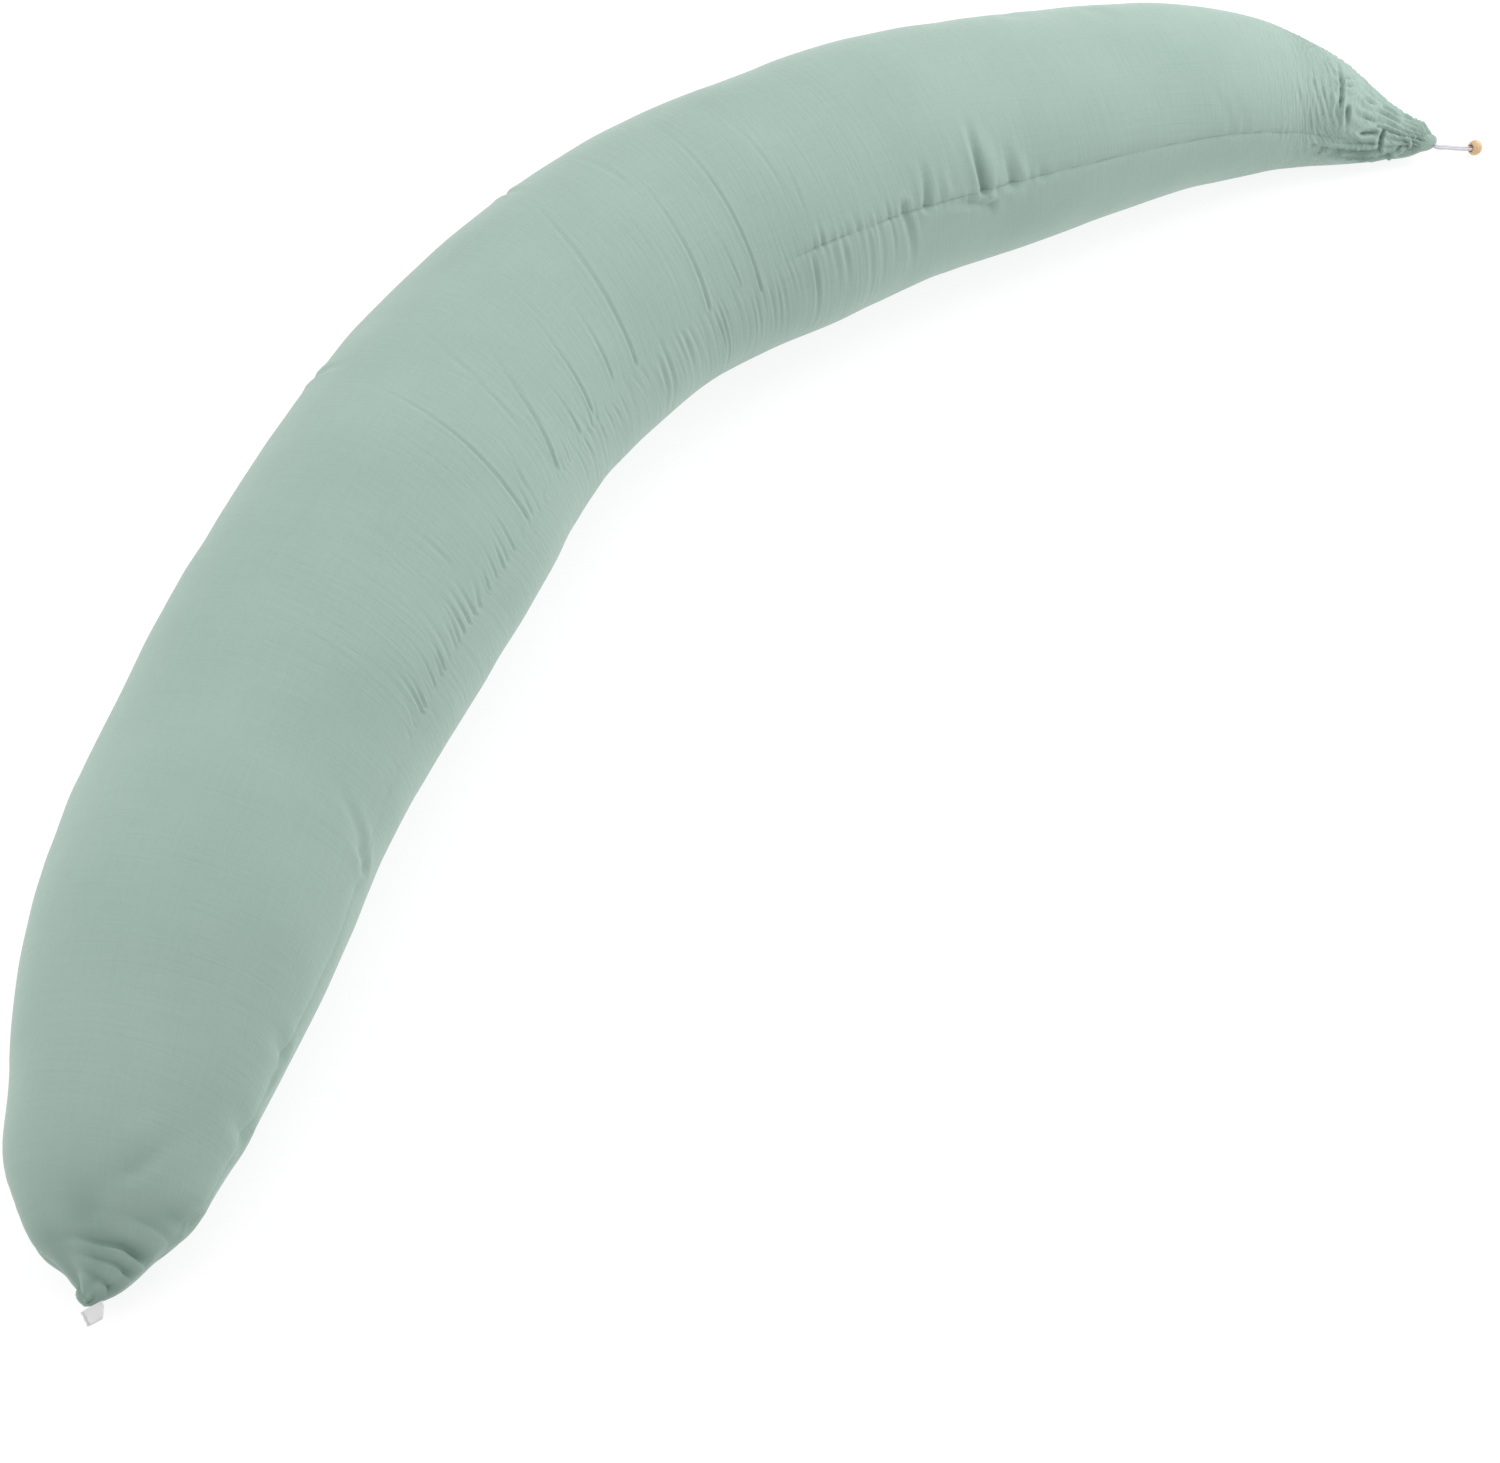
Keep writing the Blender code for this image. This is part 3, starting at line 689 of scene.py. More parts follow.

# %% [markdown]
# The single creases are listed, a row for each, in four groups: the near end, the
# long arcs that cross the bend, the tucks of the far half, and the outer side.

# %% Place the single creases
# along, turn, end along, end turn, width, depth, bow, grow
NEAR_CREASES = (
    (0.0225, -12, 0.0265, 140, 2, 7.4, 0, 0.22),
    (0.0172, -8, 0.0200, 134, 1.5, 6, 0, 0.20),
    (0.0112, -2, 0.0155, 138, 1.5, 5.2, 0, 0.16),
    (0.0300, -12, 0.0340, 110, 3, -3.4, 0, 0.20),
    (0.002, 30, 0.009, 52, 1.8, 3),
    (0.002, 78, 0.009, 88, 1.8, 2.8),
    (0.003, 124, 0.018, 106, 2.2, 3.4),
    (0.008, 152, 0.034, 128, 3.2, 3.6),
    (0.052, -4, 0.036, 52, 6, 3.6, 4),
    (0.060, 62, 0.094, 40, 9, 3),
    (0.045, 4, 0.047, 40, 6, 1.8),
    (0.036, 84, 0.060, 92, 7, 1.4),
    (0.112, -6, 0.118, 32, 6.5, 3.2),
    (0.150, 0, 0.154, 18, 5, 1.6),
    (0.166, 0, 0.170, 26, 7, 2.8),
    (0.334, 6, 0.352, 32, 5, 2.4),
    (0.345, 12, 0.382, 44, 5.5, 2.4),
)
BEND_ARCS = (
    (0.600, 43, 0.606, 66, 1.7, 0.6),
    (0.682, 25, 0.735, 118, 1.8, 1.3, -6),
    (0.689, 24, 0.699, 40, 1.6, 1),
    (0.700, 32, 0.724, 54, 1.6, 0.9),
    (0.744, 24, 0.822, 84, 2, 1.8, -6),
    (0.745, 50, 0.822, 118, 2.2, 0.7, -4),
    (0.785, 31, 0.790, 48, 1.6, 0.7),
    (0.798, 24, 0.806, 50, 1.7, 1),
    (0.828, 25, 0.866, 76, 1.8, 1.3, -3),
    (0.873, 28, 0.894, 64, 1.7, 1.2),
    (0.905, 24, 0.968, 122, 1.9, 1.4, -4),
    (1.003, 22, 1.028, 96, 1.8, 1.3),
    (1.015, 90, 1.016, 128, 2.6, 0.6),
    (1.050, 24, 1.047, 56, 1.6, 0.9),
    (1.073, 17, 1.081, 118, 1.8, 1.3),
    (1.140, 56, 1.134, 100, 2.4, 0.6),
    (1.152, 42, 1.156, 74, 1.8, 0.7),
)
FAR_TUCKS = (
    (1.262, 25, 1.270, -12, 5, 3),
    (1.292, 22, 1.299, 46, 5.5, 3.6, 3),
    (1.325, 24, 1.322, 40, 5, -1.4),
    (1.384, 11, 1.300, 17, 5, 3.4, 6),
    (1.376, 19, 1.373, 58, 5.2, 6.6, -2),
    (1.391, 22, 1.388, 50, 5, -2),
    (1.412, 19, 1.407, 42, 6, 3.8),
    (1.426, 20, 1.424, 36, 5, -1.4),
    (1.446, 18, 1.443, 30, 4.5, 1),
    (1.656, 14, 1.619, 62, 4, 1.2, 3),
    (1.674, 14, 1.636, 60, 3.6, 1.1, 3),
)
OUTER_CREASES = (
    (0.770, 165, 0.750, 118, 4.5, 3.6, 2),
    (0.985, 160, 0.966, 112, 3.5, 2.2, 2),
    (1.498, 122, 1.502, 104, 10, 1.6),
    (1.508, 138, 1.548, 158, 8, 1.8),
    (1.570, 110, 1.572, 92, 9, 1.6),
    (1.598, 144, 1.634, 166, 8, 2),
)

creases = np.zeros_like(turn)
for row in (*NEAR_CREASES, *BEND_ARCS, *FAR_TUCKS, *OUTER_CREASES):
    creases += crease_inset(Crease(*row))
print("creases reach", in_mm(creases.max()), "mm deep")

# %% [markdown]
# Where a seam is shorter than the cloth beside it, as inside a bend, the spare cloth has
# nowhere to go but into puckers: a run of short creases along the seam. One row makes a
# run, and a seeded random number varies each crease. A negative reach sends them down
# over the lower panel, from a little above the seam, where the cloth begins to roll.

# %% Place the runs of puckers
Run = namedtuple("Run", "start end pitch reach lean width depth seed")
DOWNWARD_START = (2, 18)  # degrees above the seam
DOWNWARD_GROW = 0.45      # share of its reach over which a downward one grows in
PLACE_VARIES = 0.3        # of the pitch
REACH_VARIES = (0.5, 1.25)
WIDTH_VARIES = (0.8, 1.3)
DEPTH_VARIES = (0.45, 1.3)
LEAN_VARIES = (0.5, 1.5)
PUCKER_RUNS = [Run(*row) for row in (   # reach in degrees from the seam, width and depth in mm
    (0.400, 0.472, 0.0150, 9, 0.003, 1.8, 0.5, 31),
    (0.474, 0.650, 0.0094, 18, 0.010, 1.7, 1.1, 32),
    (0.655, 0.830, 0.0130, 12, 0.006, 1.7, 0.6, 33),
    (0.780, 0.905, 0.0120, -34, 0.012, 1.9, 0.7, 34),
    (0.930, 1.028, 0.0080, -44, 0.010, 1.8, 1.1, 35),
    (1.036, 1.118, 0.0092, -40, 0.008, 1.8, 1, 36),
    (1.142, 1.238, 0.0130, -46, 0.003, 3, 2.4, 37),
    (1.150, 1.240, 0.0130, 9, 0.001, 2, 0.9, 38),
    (1.280, 1.440, 0.0170, -20, 0.001, 2.4, 0.7, 39),
)]


def pucker_run(run):
    """Creases from the seam at an uneven pitch, leaning forward as they leave it."""
    chance = np.random.default_rng(run.seed)
    total = np.zeros_like(turn)
    downward = run.reach < 0
    count = round((run.end - run.start) / run.pitch)
    for place in np.linspace(run.start, run.end, count + 1):
        place += chance.uniform(-PLACE_VARIES, PLACE_VARIES) * run.pitch
        reach = run.reach * chance.uniform(*REACH_VARIES)
        width = run.width * chance.uniform(*WIDTH_VARIES)
        depth = run.depth * chance.uniform(*DEPTH_VARIES)
        root = float(column("seam_turn", np.array([place]))[0])
        top = root + (chance.uniform(*DOWNWARD_START) if downward else 0)
        lean = run.lean * chance.uniform(*LEAN_VARIES)
        grow = DOWNWARD_GROW if downward else 0.0
        total += crease_inset(Crease(place, top, place + lean, root + reach, width, depth, 0.0, grow))
    return total


puckers = np.zeros_like(turn)
for run in PUCKER_RUNS:
    puckers += pucker_run(run)
print("puckers reach", in_mm(puckers.max()), "mm deep")

# %% [markdown]
# ## The two tips
#
# The near tip is gathered to a point round the tape. The far tip is drawn in by its cord,
# so its cloth is crinkled like muslin: ridges run round the section up to the drawn-in
# part, and gathers run on to the tip. One big fold hides a dark hollow, and a loop of
# cloth has rolled over beside the seam. A row of ridges is a cosine whose phase is bent
# by the soft unevenness, so that ridges wander, join and part as real ones do.

# %% Gather the tips
NEAR_GATHERS = 7
NEAR_GATHER_DEPTH = 0.0030
NEAR_GATHER_LENGTH = 0.040
NEAR_GATHER_LEAD = 0.012
NEAR_GATHER_DRIFT = 0.9   # radians by which their phase wanders
CRINKLE_ALONG = (1.725, 0.040, 1.870, 0.025)   # start, rise, end, fall
CRINKLE_AROUND = (-40, 30, 190, 30)
CRINKLE_LEAN = 0.040      # metres back for each radian around
CRINKLE_LEAN_FROM = 1.70
CRINKLE_LEAN_RISE = 0.1
CRINKLE_MEAN = 0.65       # of their full depth, and by how much it changes
CRINKLE_CHANGE = 0.35
CRINKLES = (   # pitch, depth, bending of the phase, what to add to the seeds
    (0.0120, 0.0012, 0.55, 0),
    (0.0052, 0.0017, 0.8, 4),
)
FAR_GATHERS = 23
FAR_GATHER_DEPTH = 0.0022
FAR_GATHER_START = 1.792
FAR_GATHER_RISE = 0.030
FAR_GATHER_DRIFT = 2.2
FAR_GATHER_LEAST_RADIUS = 0.006
FAR_GATHER_RADIUS_RISE = 0.02
FAR_CREASES = (   # along, turn, end along, end turn, width, depth, bow
    (1.7935, 44, 1.7860, 112, 1.8, 5.4, 1),
    (1.789, 44, 1.791, 22, 1.8, 4.2),
    (1.7995, 46, 1.802, 16, 2, 4.2),
    (1.785, 54, 1.795, 8, 2.2, -3),
    (1.7945, 50, 1.799, 8, 1.8, -3.4),
    (1.741, 48, 1.757, 18, 2.4, 0.8),
    (1.762, 58, 1.784, 12, 2, 1.1),
    (1.773, 54, 1.790, 14, 1.8, 1.2),
    (1.884, 175, 1.882, 5, 11, 3.4),
    (1.793, 77, 1.812, 103, 1.6, 2.8),
    (1.793, 67, 1.814, 93, 1.6, 2.8),
    (1.796, 59, 1.817, 82, 1.6, 2.8),
    (1.812, 68, 1.836, 88, 1.7, 3),
    (1.824, 64, 1.858, 80, 1.8, 3.4),
    (1.830, 80, 1.864, 104, 1.9, 3.4),
    (1.814, 46, 1.850, 56, 1.8, 3.6),
    (1.828, 42, 1.856, 38, 1.8, 3.4),
    (1.815, 22, 1.832, 37, 2.2, 5.6),
    (1.832, 37, 1.838, -34, 1.9, 7, 3),
    (1.843, -24, 1.861, 12, 2.4, -3.6, -2),
    (1.861, 12, 1.848, 40, 2.2, -3.4, 3),
    (1.848, -2, 1.851, 22, 2, 3.4),
    (1.866, 44, 1.898, 16, 1.6, 2),
    (1.854, 120, 1.897, 60, 1.8, 2.2),
    (1.830, -4, 1.748, 7, 2.5, 5.4, -10),
    (1.826, -20, 1.742, -2, 2.5, 4.6, -7),
    (1.828, 5, 1.774, 5, 2.2, -3.8, -5),
    (1.842, -18, 1.770, -14, 2.4, 4, -5),
    (1.824, -12, 1.760, -8, 2.1, -3, -8),
)


def near_gathers():
    """Gathers n * turn that radiate from the near tip and die out within a hand's breadth."""
    drift = NEAR_GATHER_DRIFT * uneven("near gathers")
    wave = 0.5 - 0.5 * np.cos(NEAR_GATHERS * np.radians(turn) + drift)
    reach = np.exp(-((along / NEAR_GATHER_LENGTH) ** 2)) * smooth_step(along / NEAR_GATHER_LEAD)
    return NEAR_GATHER_DEPTH * wave * reach


def crinkles(pitch, depth, bending, further_seed):
    """Ridges round the section, leaning back, with a bent phase, over the far tip's zone."""
    bent = bending * uneven("crinkle phase", further_seed)
    leaning = smooth_step((along - CRINKLE_LEAN_FROM) / CRINKLE_LEAN_RISE)
    phase = (along + CRINKLE_LEAN * np.radians(turn) * leaning) / pitch + bent
    strength = CRINKLE_MEAN + CRINKLE_CHANGE * uneven("crinkle depth", further_seed)
    strength *= zone(along, *CRINKLE_ALONG)
    strength *= zone(turn, *CRINKLE_AROUND)
    return depth * (0.5 - 0.5 * np.cos(2 * pi * phase)) * strength


def far_gathers():
    """Gathers that run along the last stretch to the drawn-in tip."""
    drift = FAR_GATHER_DRIFT * uneven("far gathers")
    phase = FAR_GATHERS * np.radians(turn) + drift
    strength = smooth_step((along - FAR_GATHER_START) / FAR_GATHER_RISE)
    strength *= smooth_step((radius - FAR_GATHER_LEAST_RADIUS) / FAR_GATHER_RADIUS_RISE)
    return FAR_GATHER_DEPTH * (0.5 - 0.5 * np.cos(phase)) * strength


tips = near_gathers() + far_gathers()
tips += sum(crinkles(*row) for row in CRINKLES)
for row in FAR_CREASES:
    tips += crease_inset(Crease(*row))
print("tips are drawn in up to", in_mm(tips.max()), "mm")

# %% [markdown]
# ## The pillow's cloth
#
# All the insets are taken off the plain form. The UV map is in metres, along the pillow
# and around it, so threads run as in a cut panel. Named values go to the finish: how far
# a point is from a seam, how plainly that seam shows, how much painted shade it gets in
# a crease or on the gathered near tip, how taut or crinkled the cloth is, and which ring
# it is on.

# %% Make the pillow
MOST_INSET = 0.5          # of the half height
# Painted shade: creases this deep and deeper get a deeper green in their colour.
SHADE_FROM = 0.0018       # depth at which a crease begins to be shaded
SHADE_FULL_OVER = 0.005   # further depth over which the shade fills
# Painted shade over the gathered near tip, where its small folds shade each other.
TIP_SHADE = 1.3
TIP_SHADE_LENGTH = 0.048
MUSLIN_FROM = 1.66
MUSLIN_RISE = 0.10
TAUT_LEAST = 0.3
TAUT_ALONG = (0.40, 0.10, 1.22, 0.10)   # start, rise, end, fall
TAUT_TURN = (-60, 25, 55, 60)
inset = lumps + seams + creases + puckers + tips
inset = np.minimum(inset, MOST_INSET * half_width * HEIGHT_TO_WIDTH)


def pillow_points():
    """Ellipse across the middle line, less the inset along its outward direction."""
    half_height = half_width * HEIGHT_TO_WIDTH
    edge = np.minimum(along, LENGTH - along)
    tip = np.where(along < LENGTH / 2, NEAR_TIP_HEIGHT, FAR_TIP_HEIGHT)
    lift = tip * np.exp(-((edge / TIP_LIFT_LENGTH) ** 2))
    middle = np.hypot(half_height * (1 - FLATTENING), lift)
    line, _, outward = middle_line(along)
    side = -np.cos(np.radians(turn))
    rise = np.sin(np.radians(turn))
    slope = np.hypot(side * HEIGHT_TO_WIDTH, rise)
    across = half_width * side - inset * side * HEIGHT_TO_WIDTH / slope
    height = middle + half_height * rise - inset * rise / slope
    points = np.empty((*turn.shape, 3))
    points[..., :2] = line + outward * across[..., None]
    points[..., 2] = np.maximum(height, 0.0)
    return points + TABLE_TO_FRAME


def tip_points(points):
    """A point beyond each end ring, by half the ring's height."""
    _, run, _ = middle_line(np.array([0.0, LENGTH]))
    found = []
    for row, sign, way in ((points[0], -1, run[0]), (points[-1], 1, run[1])):
        bulge = TIP_CAP_BULGE * np.ptp(row[:, 2]) / 2
        found.append(row.mean(axis=0) + sign * bulge * np.array([way[0], way[1], 0.0]))
    return found


def with_first_again(grid):
    """The grid with its first column repeated after its last."""
    return np.concatenate([grid, grid[:, :1]], axis=1)


cloth = pillow_points()
# Painted shade over the near tip, fading out within a few centimetres.
near_tip_shade = TIP_SHADE * np.exp(-((along / TIP_SHADE_LENGTH) ** 2))
# Painted shade down in the creases, puckers and tip gathers, deeper where they are deeper.
crease_shade = (creases + puckers + tips - SHADE_FROM) / SHADE_FULL_OVER
strained = zone(along, *TAUT_ALONG) * zone(turn, *TAUT_TURN)
full_turn = with_first_again(turn)
full_turn[:, 1:] += 360 * np.cumsum(np.diff(full_turn, axis=1) < -180, axis=1)
around = np.radians(full_turn - 90) * with_first_again(radius)
cloth_uv = np.stack([with_first_again(along), around], axis=-1)
pillow = add_grid_piece(
    "pillow_cloth",
    cloth,
    cloth_uv,
    wrap=True,
    ends=tip_points(cloth),
    values={
        "seam_distance": seam_distance,
        "seam_plain": seam_share,
        # Painted shade for the creases and the near tip.
        "painted_shade": np.clip(crease_shade + near_tip_shade, 0.0, 1.0),
        "crinkled": smooth_step((along - MUSLIN_FROM) / MUSLIN_RISE),
        "taut": TAUT_LEAST + (1 - TAUT_LEAST) * strained,
        "ring_place": ring_place,
    },
)
print("cloth less solid, lowest, mm:", in_mm(cloth.min(axis=(0, 1)) - body_low))
print("cloth less solid, highest, mm:", in_mm(cloth.max(axis=(0, 1)) - body_high))

# %% [markdown]
# ## A helper for finishes
#
# A procedural finish is a small graph of nodes. One helper adds a node, sets what is
# constant and links what is not, so each finish reads as a list of steps.

# %% Wire up a finish
def new_finish(name):
    """A material with a plain Principled shader, and its node tree and shader."""
    material = bpy.data.materials.new(name)
    material.use_nodes = True
    return material, material.node_tree, material.node_tree.nodes["Principled BSDF"]


def set_sockets(tree, node, sockets):
    """Each value goes into its socket. One that is another node's output is linked."""
    for key, value in sockets.items():
        if isinstance(value, bpy.types.NodeSocket):
            tree.links.new(value, node.inputs[key])
        else:
            node.inputs[key].default_value = value


def add_node(tree, kind, sockets, **settings):
    """A new node with its settings and sockets filled. Gives its first output."""
    made = tree.nodes.new(kind)
    for key, value in settings.items():
        setattr(made, key, value)
    set_sockets(tree, made, sockets)
    return made.outputs[0]


def math_of(tree, operation, first, second=0.0):
    """A function of one or two values."""
    return add_node(tree, "ShaderNodeMath", {0: first, 1: second}, operation=operation)


def sum_of(tree, first, second):
    """One value plus another."""
    return math_of(tree, "ADD", first, second)


def product_of(tree, first, second):
    """One value times another."""
    return math_of(tree, "MULTIPLY", first, second)


def wave_of(tree, place, pitch):
    """sin(2 pi place / pitch)."""
    return math_of(tree, "SINE", product_of(tree, place, 2 * pi / pitch))


def noise_of(tree, place, scale, detail=2.0):
    """Soft noise from 0 to 1, read at a place that is stretched by three scales."""
    spread = add_node(tree, "ShaderNodeMapping", {"Vector": place, "Scale": scale})
    return add_node(tree, "ShaderNodeTexNoise", {"Vector": spread, "Scale": 1.0, "Detail": detail})


def value_of(tree, label):
    """A named value of the mesh."""
    return add_node(tree, "ShaderNodeAttribute", {}, attribute_name=label).node.outputs["Fac"]


def cloth_place(tree):
    """The place on the cloth from its UV map, and its first and second part, in metres."""
    place = add_node(tree, "ShaderNodeUVMap", {}, uv_map="cloth")
    parts = add_node(tree, "ShaderNodeSeparateXYZ", {"Vector": place}).node.outputs
    return place, parts["X"], parts["Y"]


def body_place(tree):
    """The place on the piece in its own coordinates."""
    return add_node(tree, "ShaderNodeTexCoord", {}).node.outputs["Object"]


def blend_of(tree, share, first, second):
    """Two colours blended by a share. Its colour sockets are 6 and 7, and its colour is output 2."""
    sockets = {0: share, 6: first, 7: second}
    return add_node(tree, "ShaderNodeMix", sockets, data_type="RGBA").node.outputs[2]


def relief_of(tree, height):
    """Bump from a height in metres."""
    return add_node(tree, "ShaderNodeBump", {"Height": height, "Strength": 1.0, "Distance": 1.0})


def fill_shader(tree, shader, colour, height, surface):
    """The colour, the relief from a height in metres, and plain values."""
    sockets = {"Base Color": colour, "Normal": relief_of(tree, height), **surface}
    set_sockets(tree, shader, sockets)


print("helpers for finishes are ready")

# %% [markdown]
# ## Sage cotton
#
# The cloth is a soft plain-woven cotton, washed and matt, with a fine nap that catches
# the light at its edges. A picture of cloth could be wrapped round it, but noise that is
# stretched along the threads has no joins. The colour varies with cloudy patches from the
# dyeing and with lighter and darker threads. Painted shade turns it a deeper green down in
# the creases, puckers and tip gathers and over the gathered near tip. The seam is a thin
# dark line of stitches. The relief is the weave, uneven threads, strain lines round the
# bend and muslin's crinkle near the far tip. The nap is the shader's own sheen.

# %% Finish the cotton
COTTON_DEEP = (0.288, 0.400, 0.352, 1.0)
COTTON_LIGHT = (0.357, 0.476, 0.422, 1.0)
# Painted shade colour for creases and the near tip, also the seam's dark line of stitches.
COTTON_SHADE_AND_SEAM = (0.213, 0.314, 0.271, 1.0)
COTTON_SURFACE = {
    "Roughness": 0.92,
    "Specular IOR Level": 0.25,
    "Sheen Weight": 0.42,
    "Sheen Roughness": 0.42,
    "Sheen Tint": (0.90, 1.0, 0.96, 1.0),
}
PATCHES = (9, 9, 9)            # spots per metre, as for the four below
ROUND_THREADS = (520, 16, 1)
LONG_THREADS = (14, 480, 1)
STRAIN_LINES = (210, 14, 1)
MUSLIN_LINES = (400, 70, 1)
PATCH_SHARE = 0.8
THREAD_SHARE = 0.35
SHADE_LESS = 0.25
# How far the painted crease shade goes towards the deep green.
CREASE_SHADE_SHARE = 0.60
WEAVE_PITCH = 0.0009
WEAVE_HEIGHT = 0.00002
SLUB_HEIGHT = 0.00026
STRAIN_HEIGHT = 0.00090
MUSLIN_HEIGHT = 0.00160
SEAM_LINE = (0.0002, 0.0014)   # metres from the seam, where its line is darkest and gone
STITCH_PITCH = 0.0034
STITCH_SWING = 0.26
STITCH_MEAN = 0.52
PLAIN_POWER = 1.5


def seam_line(tree, lengthways):
    """Dark within a millimetre of a plain seam, and darker where a stitch dips in."""
    line = {"Value": value_of(tree, "seam_distance"), "To Min": 1.0, "To Max": 0.0}
    line.update({"From Min": SEAM_LINE[0], "From Max": SEAM_LINE[1]})
    line = add_node(tree, "ShaderNodeMapRange", line, interpolation_type="SMOOTHSTEP")
    stitch = product_of(tree, wave_of(tree, lengthways, STITCH_PITCH), STITCH_SWING)
    stitched = product_of(tree, line, sum_of(tree, stitch, STITCH_MEAN))
    plain = math_of(tree, "POWER", value_of(tree, "seam_plain"), PLAIN_POWER)
    return product_of(tree, stitched, plain)


def cotton_relief(tree, place, lengthways, crossways, slub, ring_place):
    """Weave sin * sin, plus uneven threads, plus strain lines, plus muslin's crinkle."""
    weave = wave_of(tree, lengthways, WEAVE_PITCH)
    weave = product_of(tree, weave, wave_of(tree, crossways, WEAVE_PITCH))
    with_rings = add_node(tree, "ShaderNodeCombineXYZ", {"X": ring_place, "Y": crossways})
    strain = product_of(tree, noise_of(tree, with_rings, STRAIN_LINES), value_of(tree, "taut"))
    muslin = noise_of(tree, place, MUSLIN_LINES, 3.0)
    muslin = product_of(tree, muslin, value_of(tree, "crinkled"))
    height = product_of(tree, weave, WEAVE_HEIGHT)
    for part, part_height in ((slub, SLUB_HEIGHT), (strain, STRAIN_HEIGHT), (muslin, MUSLIN_HEIGHT)):
        height = sum_of(tree, height, product_of(tree, part, part_height))
    return height


def sage_cotton():
    """Cotton that reads its own UV map in metres and the named values."""
    material, tree, shader = new_finish("sage_cotton")
    place, lengthways, crossways = cloth_place(tree)
    patches = noise_of(tree, body_place(tree), PATCHES, 3.0)
    slub = sum_of(tree, noise_of(tree, place, ROUND_THREADS), noise_of(tree, place, LONG_THREADS))
    shade = product_of(tree, patches, PATCH_SHARE)
    shade = sum_of(tree, shade, product_of(tree, slub, THREAD_SHARE))
    cloudy = blend_of(tree, math_of(tree, "SUBTRACT", shade, SHADE_LESS), COTTON_DEEP, COTTON_LIGHT)
    # Painted shade: the colour turns deeper green down in creases and over the near tip.
    hollow_shade = product_of(tree, value_of(tree, "painted_shade"), CREASE_SHADE_SHARE)
    crease_shaded = blend_of(tree, hollow_shade, cloudy, COTTON_SHADE_AND_SEAM)
    colour = blend_of(tree, seam_line(tree, lengthways), crease_shaded, COTTON_SHADE_AND_SEAM)
    height = cotton_relief(tree, place, lengthways, crossways, slub, value_of(tree, "ring_place"))
    fill_shader(tree, shader, colour, height, COTTON_SURFACE)
    return material


pillow.data.materials.append(sage_cotton())
print("finished", pillow.name)

# %% [markdown]
# ## White cord, white tape and pale wood
#
# The cord's braid is already in the mesh, so its finish only needs fibres along the
# threads. The tape is a twill weave, a wave on the diagonal of its UV map. The wood is
# beech-like: growth rings are bands across one direction, bent by noise, with flecks.

# %% Finish the small pieces
CORD_FIBRES = (900, 4200, 1)
CORD_SHADES = ((0.42, 0.40, 0.45, 1.0), (0.72, 0.70, 0.74, 1.0))
CORD_FIBRE_HEIGHT = 0.00012
TAPE_FIBRES = (2200, 900, 1)
TAPE_SHADES = ((0.60, 0.59, 0.60, 1.0), (0.90, 0.89, 0.90, 1.0))
TAPE_FIBRE_HEIGHT = 0.00007
TWILL_PITCH = 0.0011
TWILL_SHARE = 0.18
WOOD_SHADES = ((0.55, 0.33, 0.15, 1.0), (0.80, 0.60, 0.36, 1.0))
FLECK_SHADE = (0.62, 0.40, 0.20, 1.0)
FLECKS = (2600, 2600, 260)
FLECK_SHARE = 0.5
FLECK_HEIGHT = 0.00003
GRAIN = {"Rotation": (0.5, 0.3, 0.9), "Scale": (1.0, 1.0, 0.25)}
RINGS = {"Scale": 210.0, "Distortion": 3.5, "Detail": 3.0, "Detail Scale": 2.0}


def white_cord():
    """Braided cotton: fibres are noise stretched along the strand."""
    material, tree, shader = new_finish("white_cord")
    fibres = noise_of(tree, cloth_place(tree)[0], CORD_FIBRES, 3.0)
    colour = blend_of(tree, fibres, *CORD_SHADES)
    height = product_of(tree, fibres, CORD_FIBRE_HEIGHT)
    fill_shader(tree, shader, colour, height, {"Roughness": 0.75, "Sheen Weight": 0.3})
    return material


def white_tape():
    """Twill: a wave along the diagonal of the tape, and fibres on top."""
    material, tree, shader = new_finish("white_tape")
    place, lengthways, crossways = cloth_place(tree)
    twill = wave_of(tree, sum_of(tree, lengthways, crossways), TWILL_PITCH)
    fibres = noise_of(tree, place, TAPE_FIBRES, 3.0)
    share = sum_of(tree, product_of(tree, twill, TWILL_SHARE), fibres)
    colour = blend_of(tree, share, *TAPE_SHADES)
    height = product_of(tree, share, TAPE_FIBRE_HEIGHT)
    fill_shader(tree, shader, colour, height, {"Roughness": 0.8, "Sheen Weight": 0.2})
    return material


def pale_wood():
    """Growth rings as bands along one direction, bent by noise, with fine dark flecks."""
    material, tree, shader = new_finish("pale_wood")
    grain = add_node(tree, "ShaderNodeMapping", {"Vector": body_place(tree), **GRAIN})
    rings = add_node(tree, "ShaderNodeTexWave", {"Vector": grain, **RINGS})
    flecks = noise_of(tree, grain, FLECKS)
    warm = blend_of(tree, rings, *WOOD_SHADES)
    colour = blend_of(tree, product_of(tree, flecks, FLECK_SHARE), warm, FLECK_SHADE)
    height = product_of(tree, flecks, FLECK_HEIGHT)
    fill_shader(tree, shader, colour, height, {"Roughness": 0.42})
    return material


cord_finish = white_cord()
for strand, _ in strands.values():
    strand.data.materials.append(cord_finish)
tape.data.materials.append(white_tape())
bead.data.materials.append(pale_wood())
print("finished", len(bpy.data.materials), "materials")

# %% [markdown]
# ## Each piece in its solid's place
#
# Every piece rides on the part's one body and stands for the solid whose place it takes.

# %% Put each piece in its solid's place
def stand_for(piece, slot, *nodes):
    """The piece rides on the body and replaces the nodes. The slot is not used."""
    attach(piece, "root")
    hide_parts(*nodes)


stand_for(pillow, "sage_cotton", "pillow_body")
stand_for(tape, "white_tape", "end_tab")
stand_for(bead, "pale_wood", "bead")
for number, (strand, line) in strands.items():
    stand_for(strand, "white_cord", f"cord_strand_{number}")
    print("strand", number, "is", in_mm(length_of(line)), "mm long")

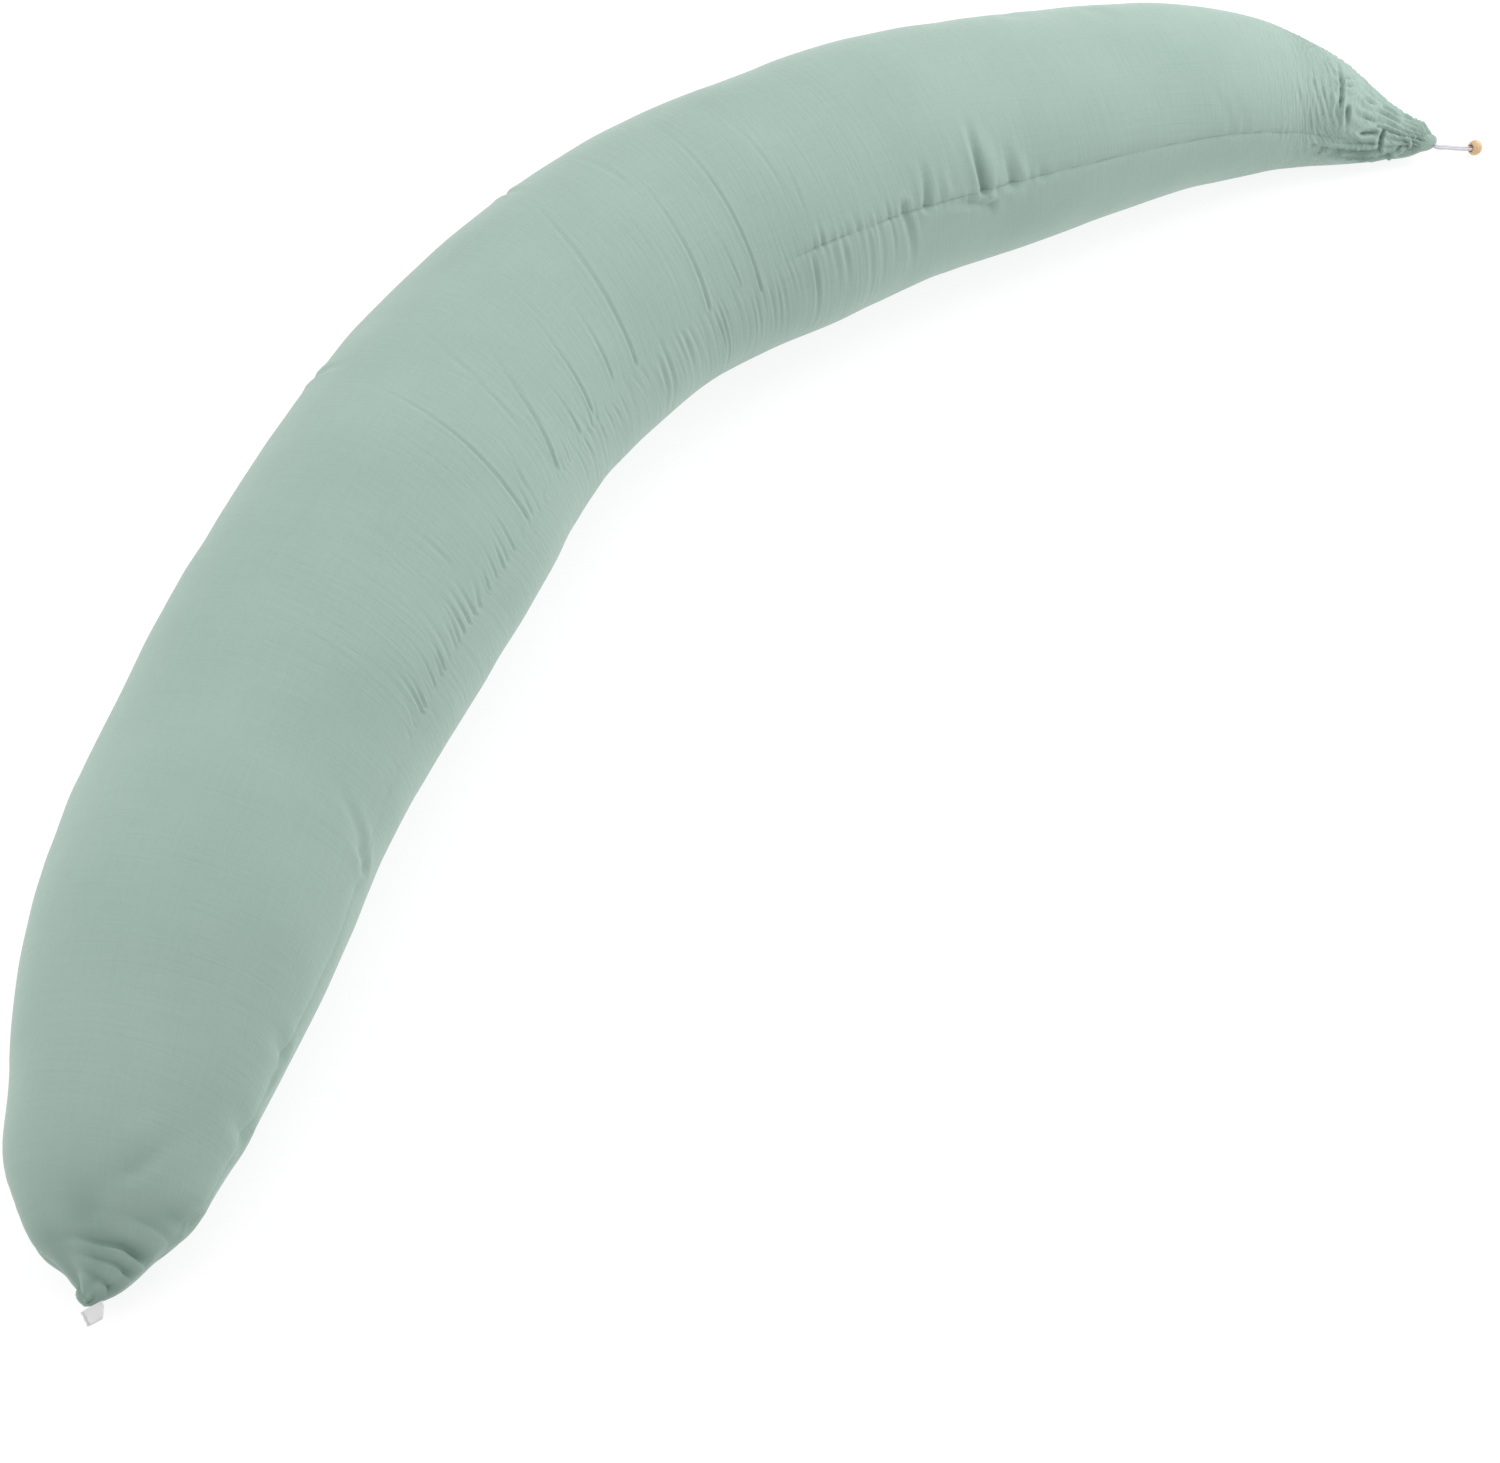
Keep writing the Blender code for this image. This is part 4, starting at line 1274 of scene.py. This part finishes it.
# %% [markdown]
# ## A white floor and soft light
#
# The pillow lies on a plain white floor under a white sky, as in a light tent. The floor
# glows, as a lit table does, and takes less light, which leaves only a faint shadow close
# to the cloth. Four soft lights stand around. The strongest is beyond the far tip, and
# none stands by the camera, so the near side is the darker one.

# %% Floor and light
FLOOR_HALF = 40.0
FLOOR_DROP = 0.0004
WHITE = (1.0, 1.0, 1.0, 1.0)
FLOOR_SURFACE = {
    "Base Color": (0.22, 0.22, 0.22, 1.0),
    "Roughness": 0.9,
    "Specular IOR Level": 0.1,
    "Emission Color": WHITE,
    "Emission Strength": 0.82,
}
SKY_STRENGTH = 0.55
SOFT_LIGHT_SIZE = 2.0
SOFT_LIGHTS = (   # name, place, watts
    ("light_above", (0.1, 0.2, 2.6), 17.0),
    ("light_left", (-1.4, 1.1, 1.3), 16.0),
    ("light_right", (1.3, -1.6, 1.3), 10.0),
    ("light_far", (1.9, -0.4, 1.2), 22.0),
)


def add_floor():
    """One glowing square just under the pillow."""
    material, tree, shader = new_finish("white_floor")
    set_sockets(tree, shader, FLOOR_SURFACE)
    sides = np.array([-FLOOR_HALF, FLOOR_HALF])
    points = np.zeros((2, 2, 3))
    points[..., 0], points[..., 1] = np.meshgrid(sides, sides, indexing="ij")
    points[..., 2] = -FLOOR_DROP
    floor = add_grid_piece("studio_floor", points)
    floor.data.materials.append(material)


def add_soft_light(name, place, watts):
    """A square light that faces the middle of the floor."""
    light = bpy.data.lights.new(name, "AREA")
    light.size = SOFT_LIGHT_SIZE
    light.energy = watts
    made = bpy.data.objects.new(name, light)
    made.location = place
    tilt = float(np.arctan2(np.hypot(place[0], place[1]), place[2]))
    made.rotation_euler = (tilt, 0.0, float(np.arctan2(place[1], place[0])) + pi / 2)
    bpy.context.scene.collection.objects.link(made)


add_floor()
for light_row in SOFT_LIGHTS:
    add_soft_light(*light_row)
sky = bpy.data.worlds.new("light_tent")
sky.use_nodes = True
background = sky.node_tree.nodes["Background"]
set_sockets(sky.node_tree, background, {"Color": WHITE, "Strength": SKY_STRENGTH})
bpy.context.scene.world = sky
bpy.context.scene.view_settings.view_transform = "Standard"
print("lit")
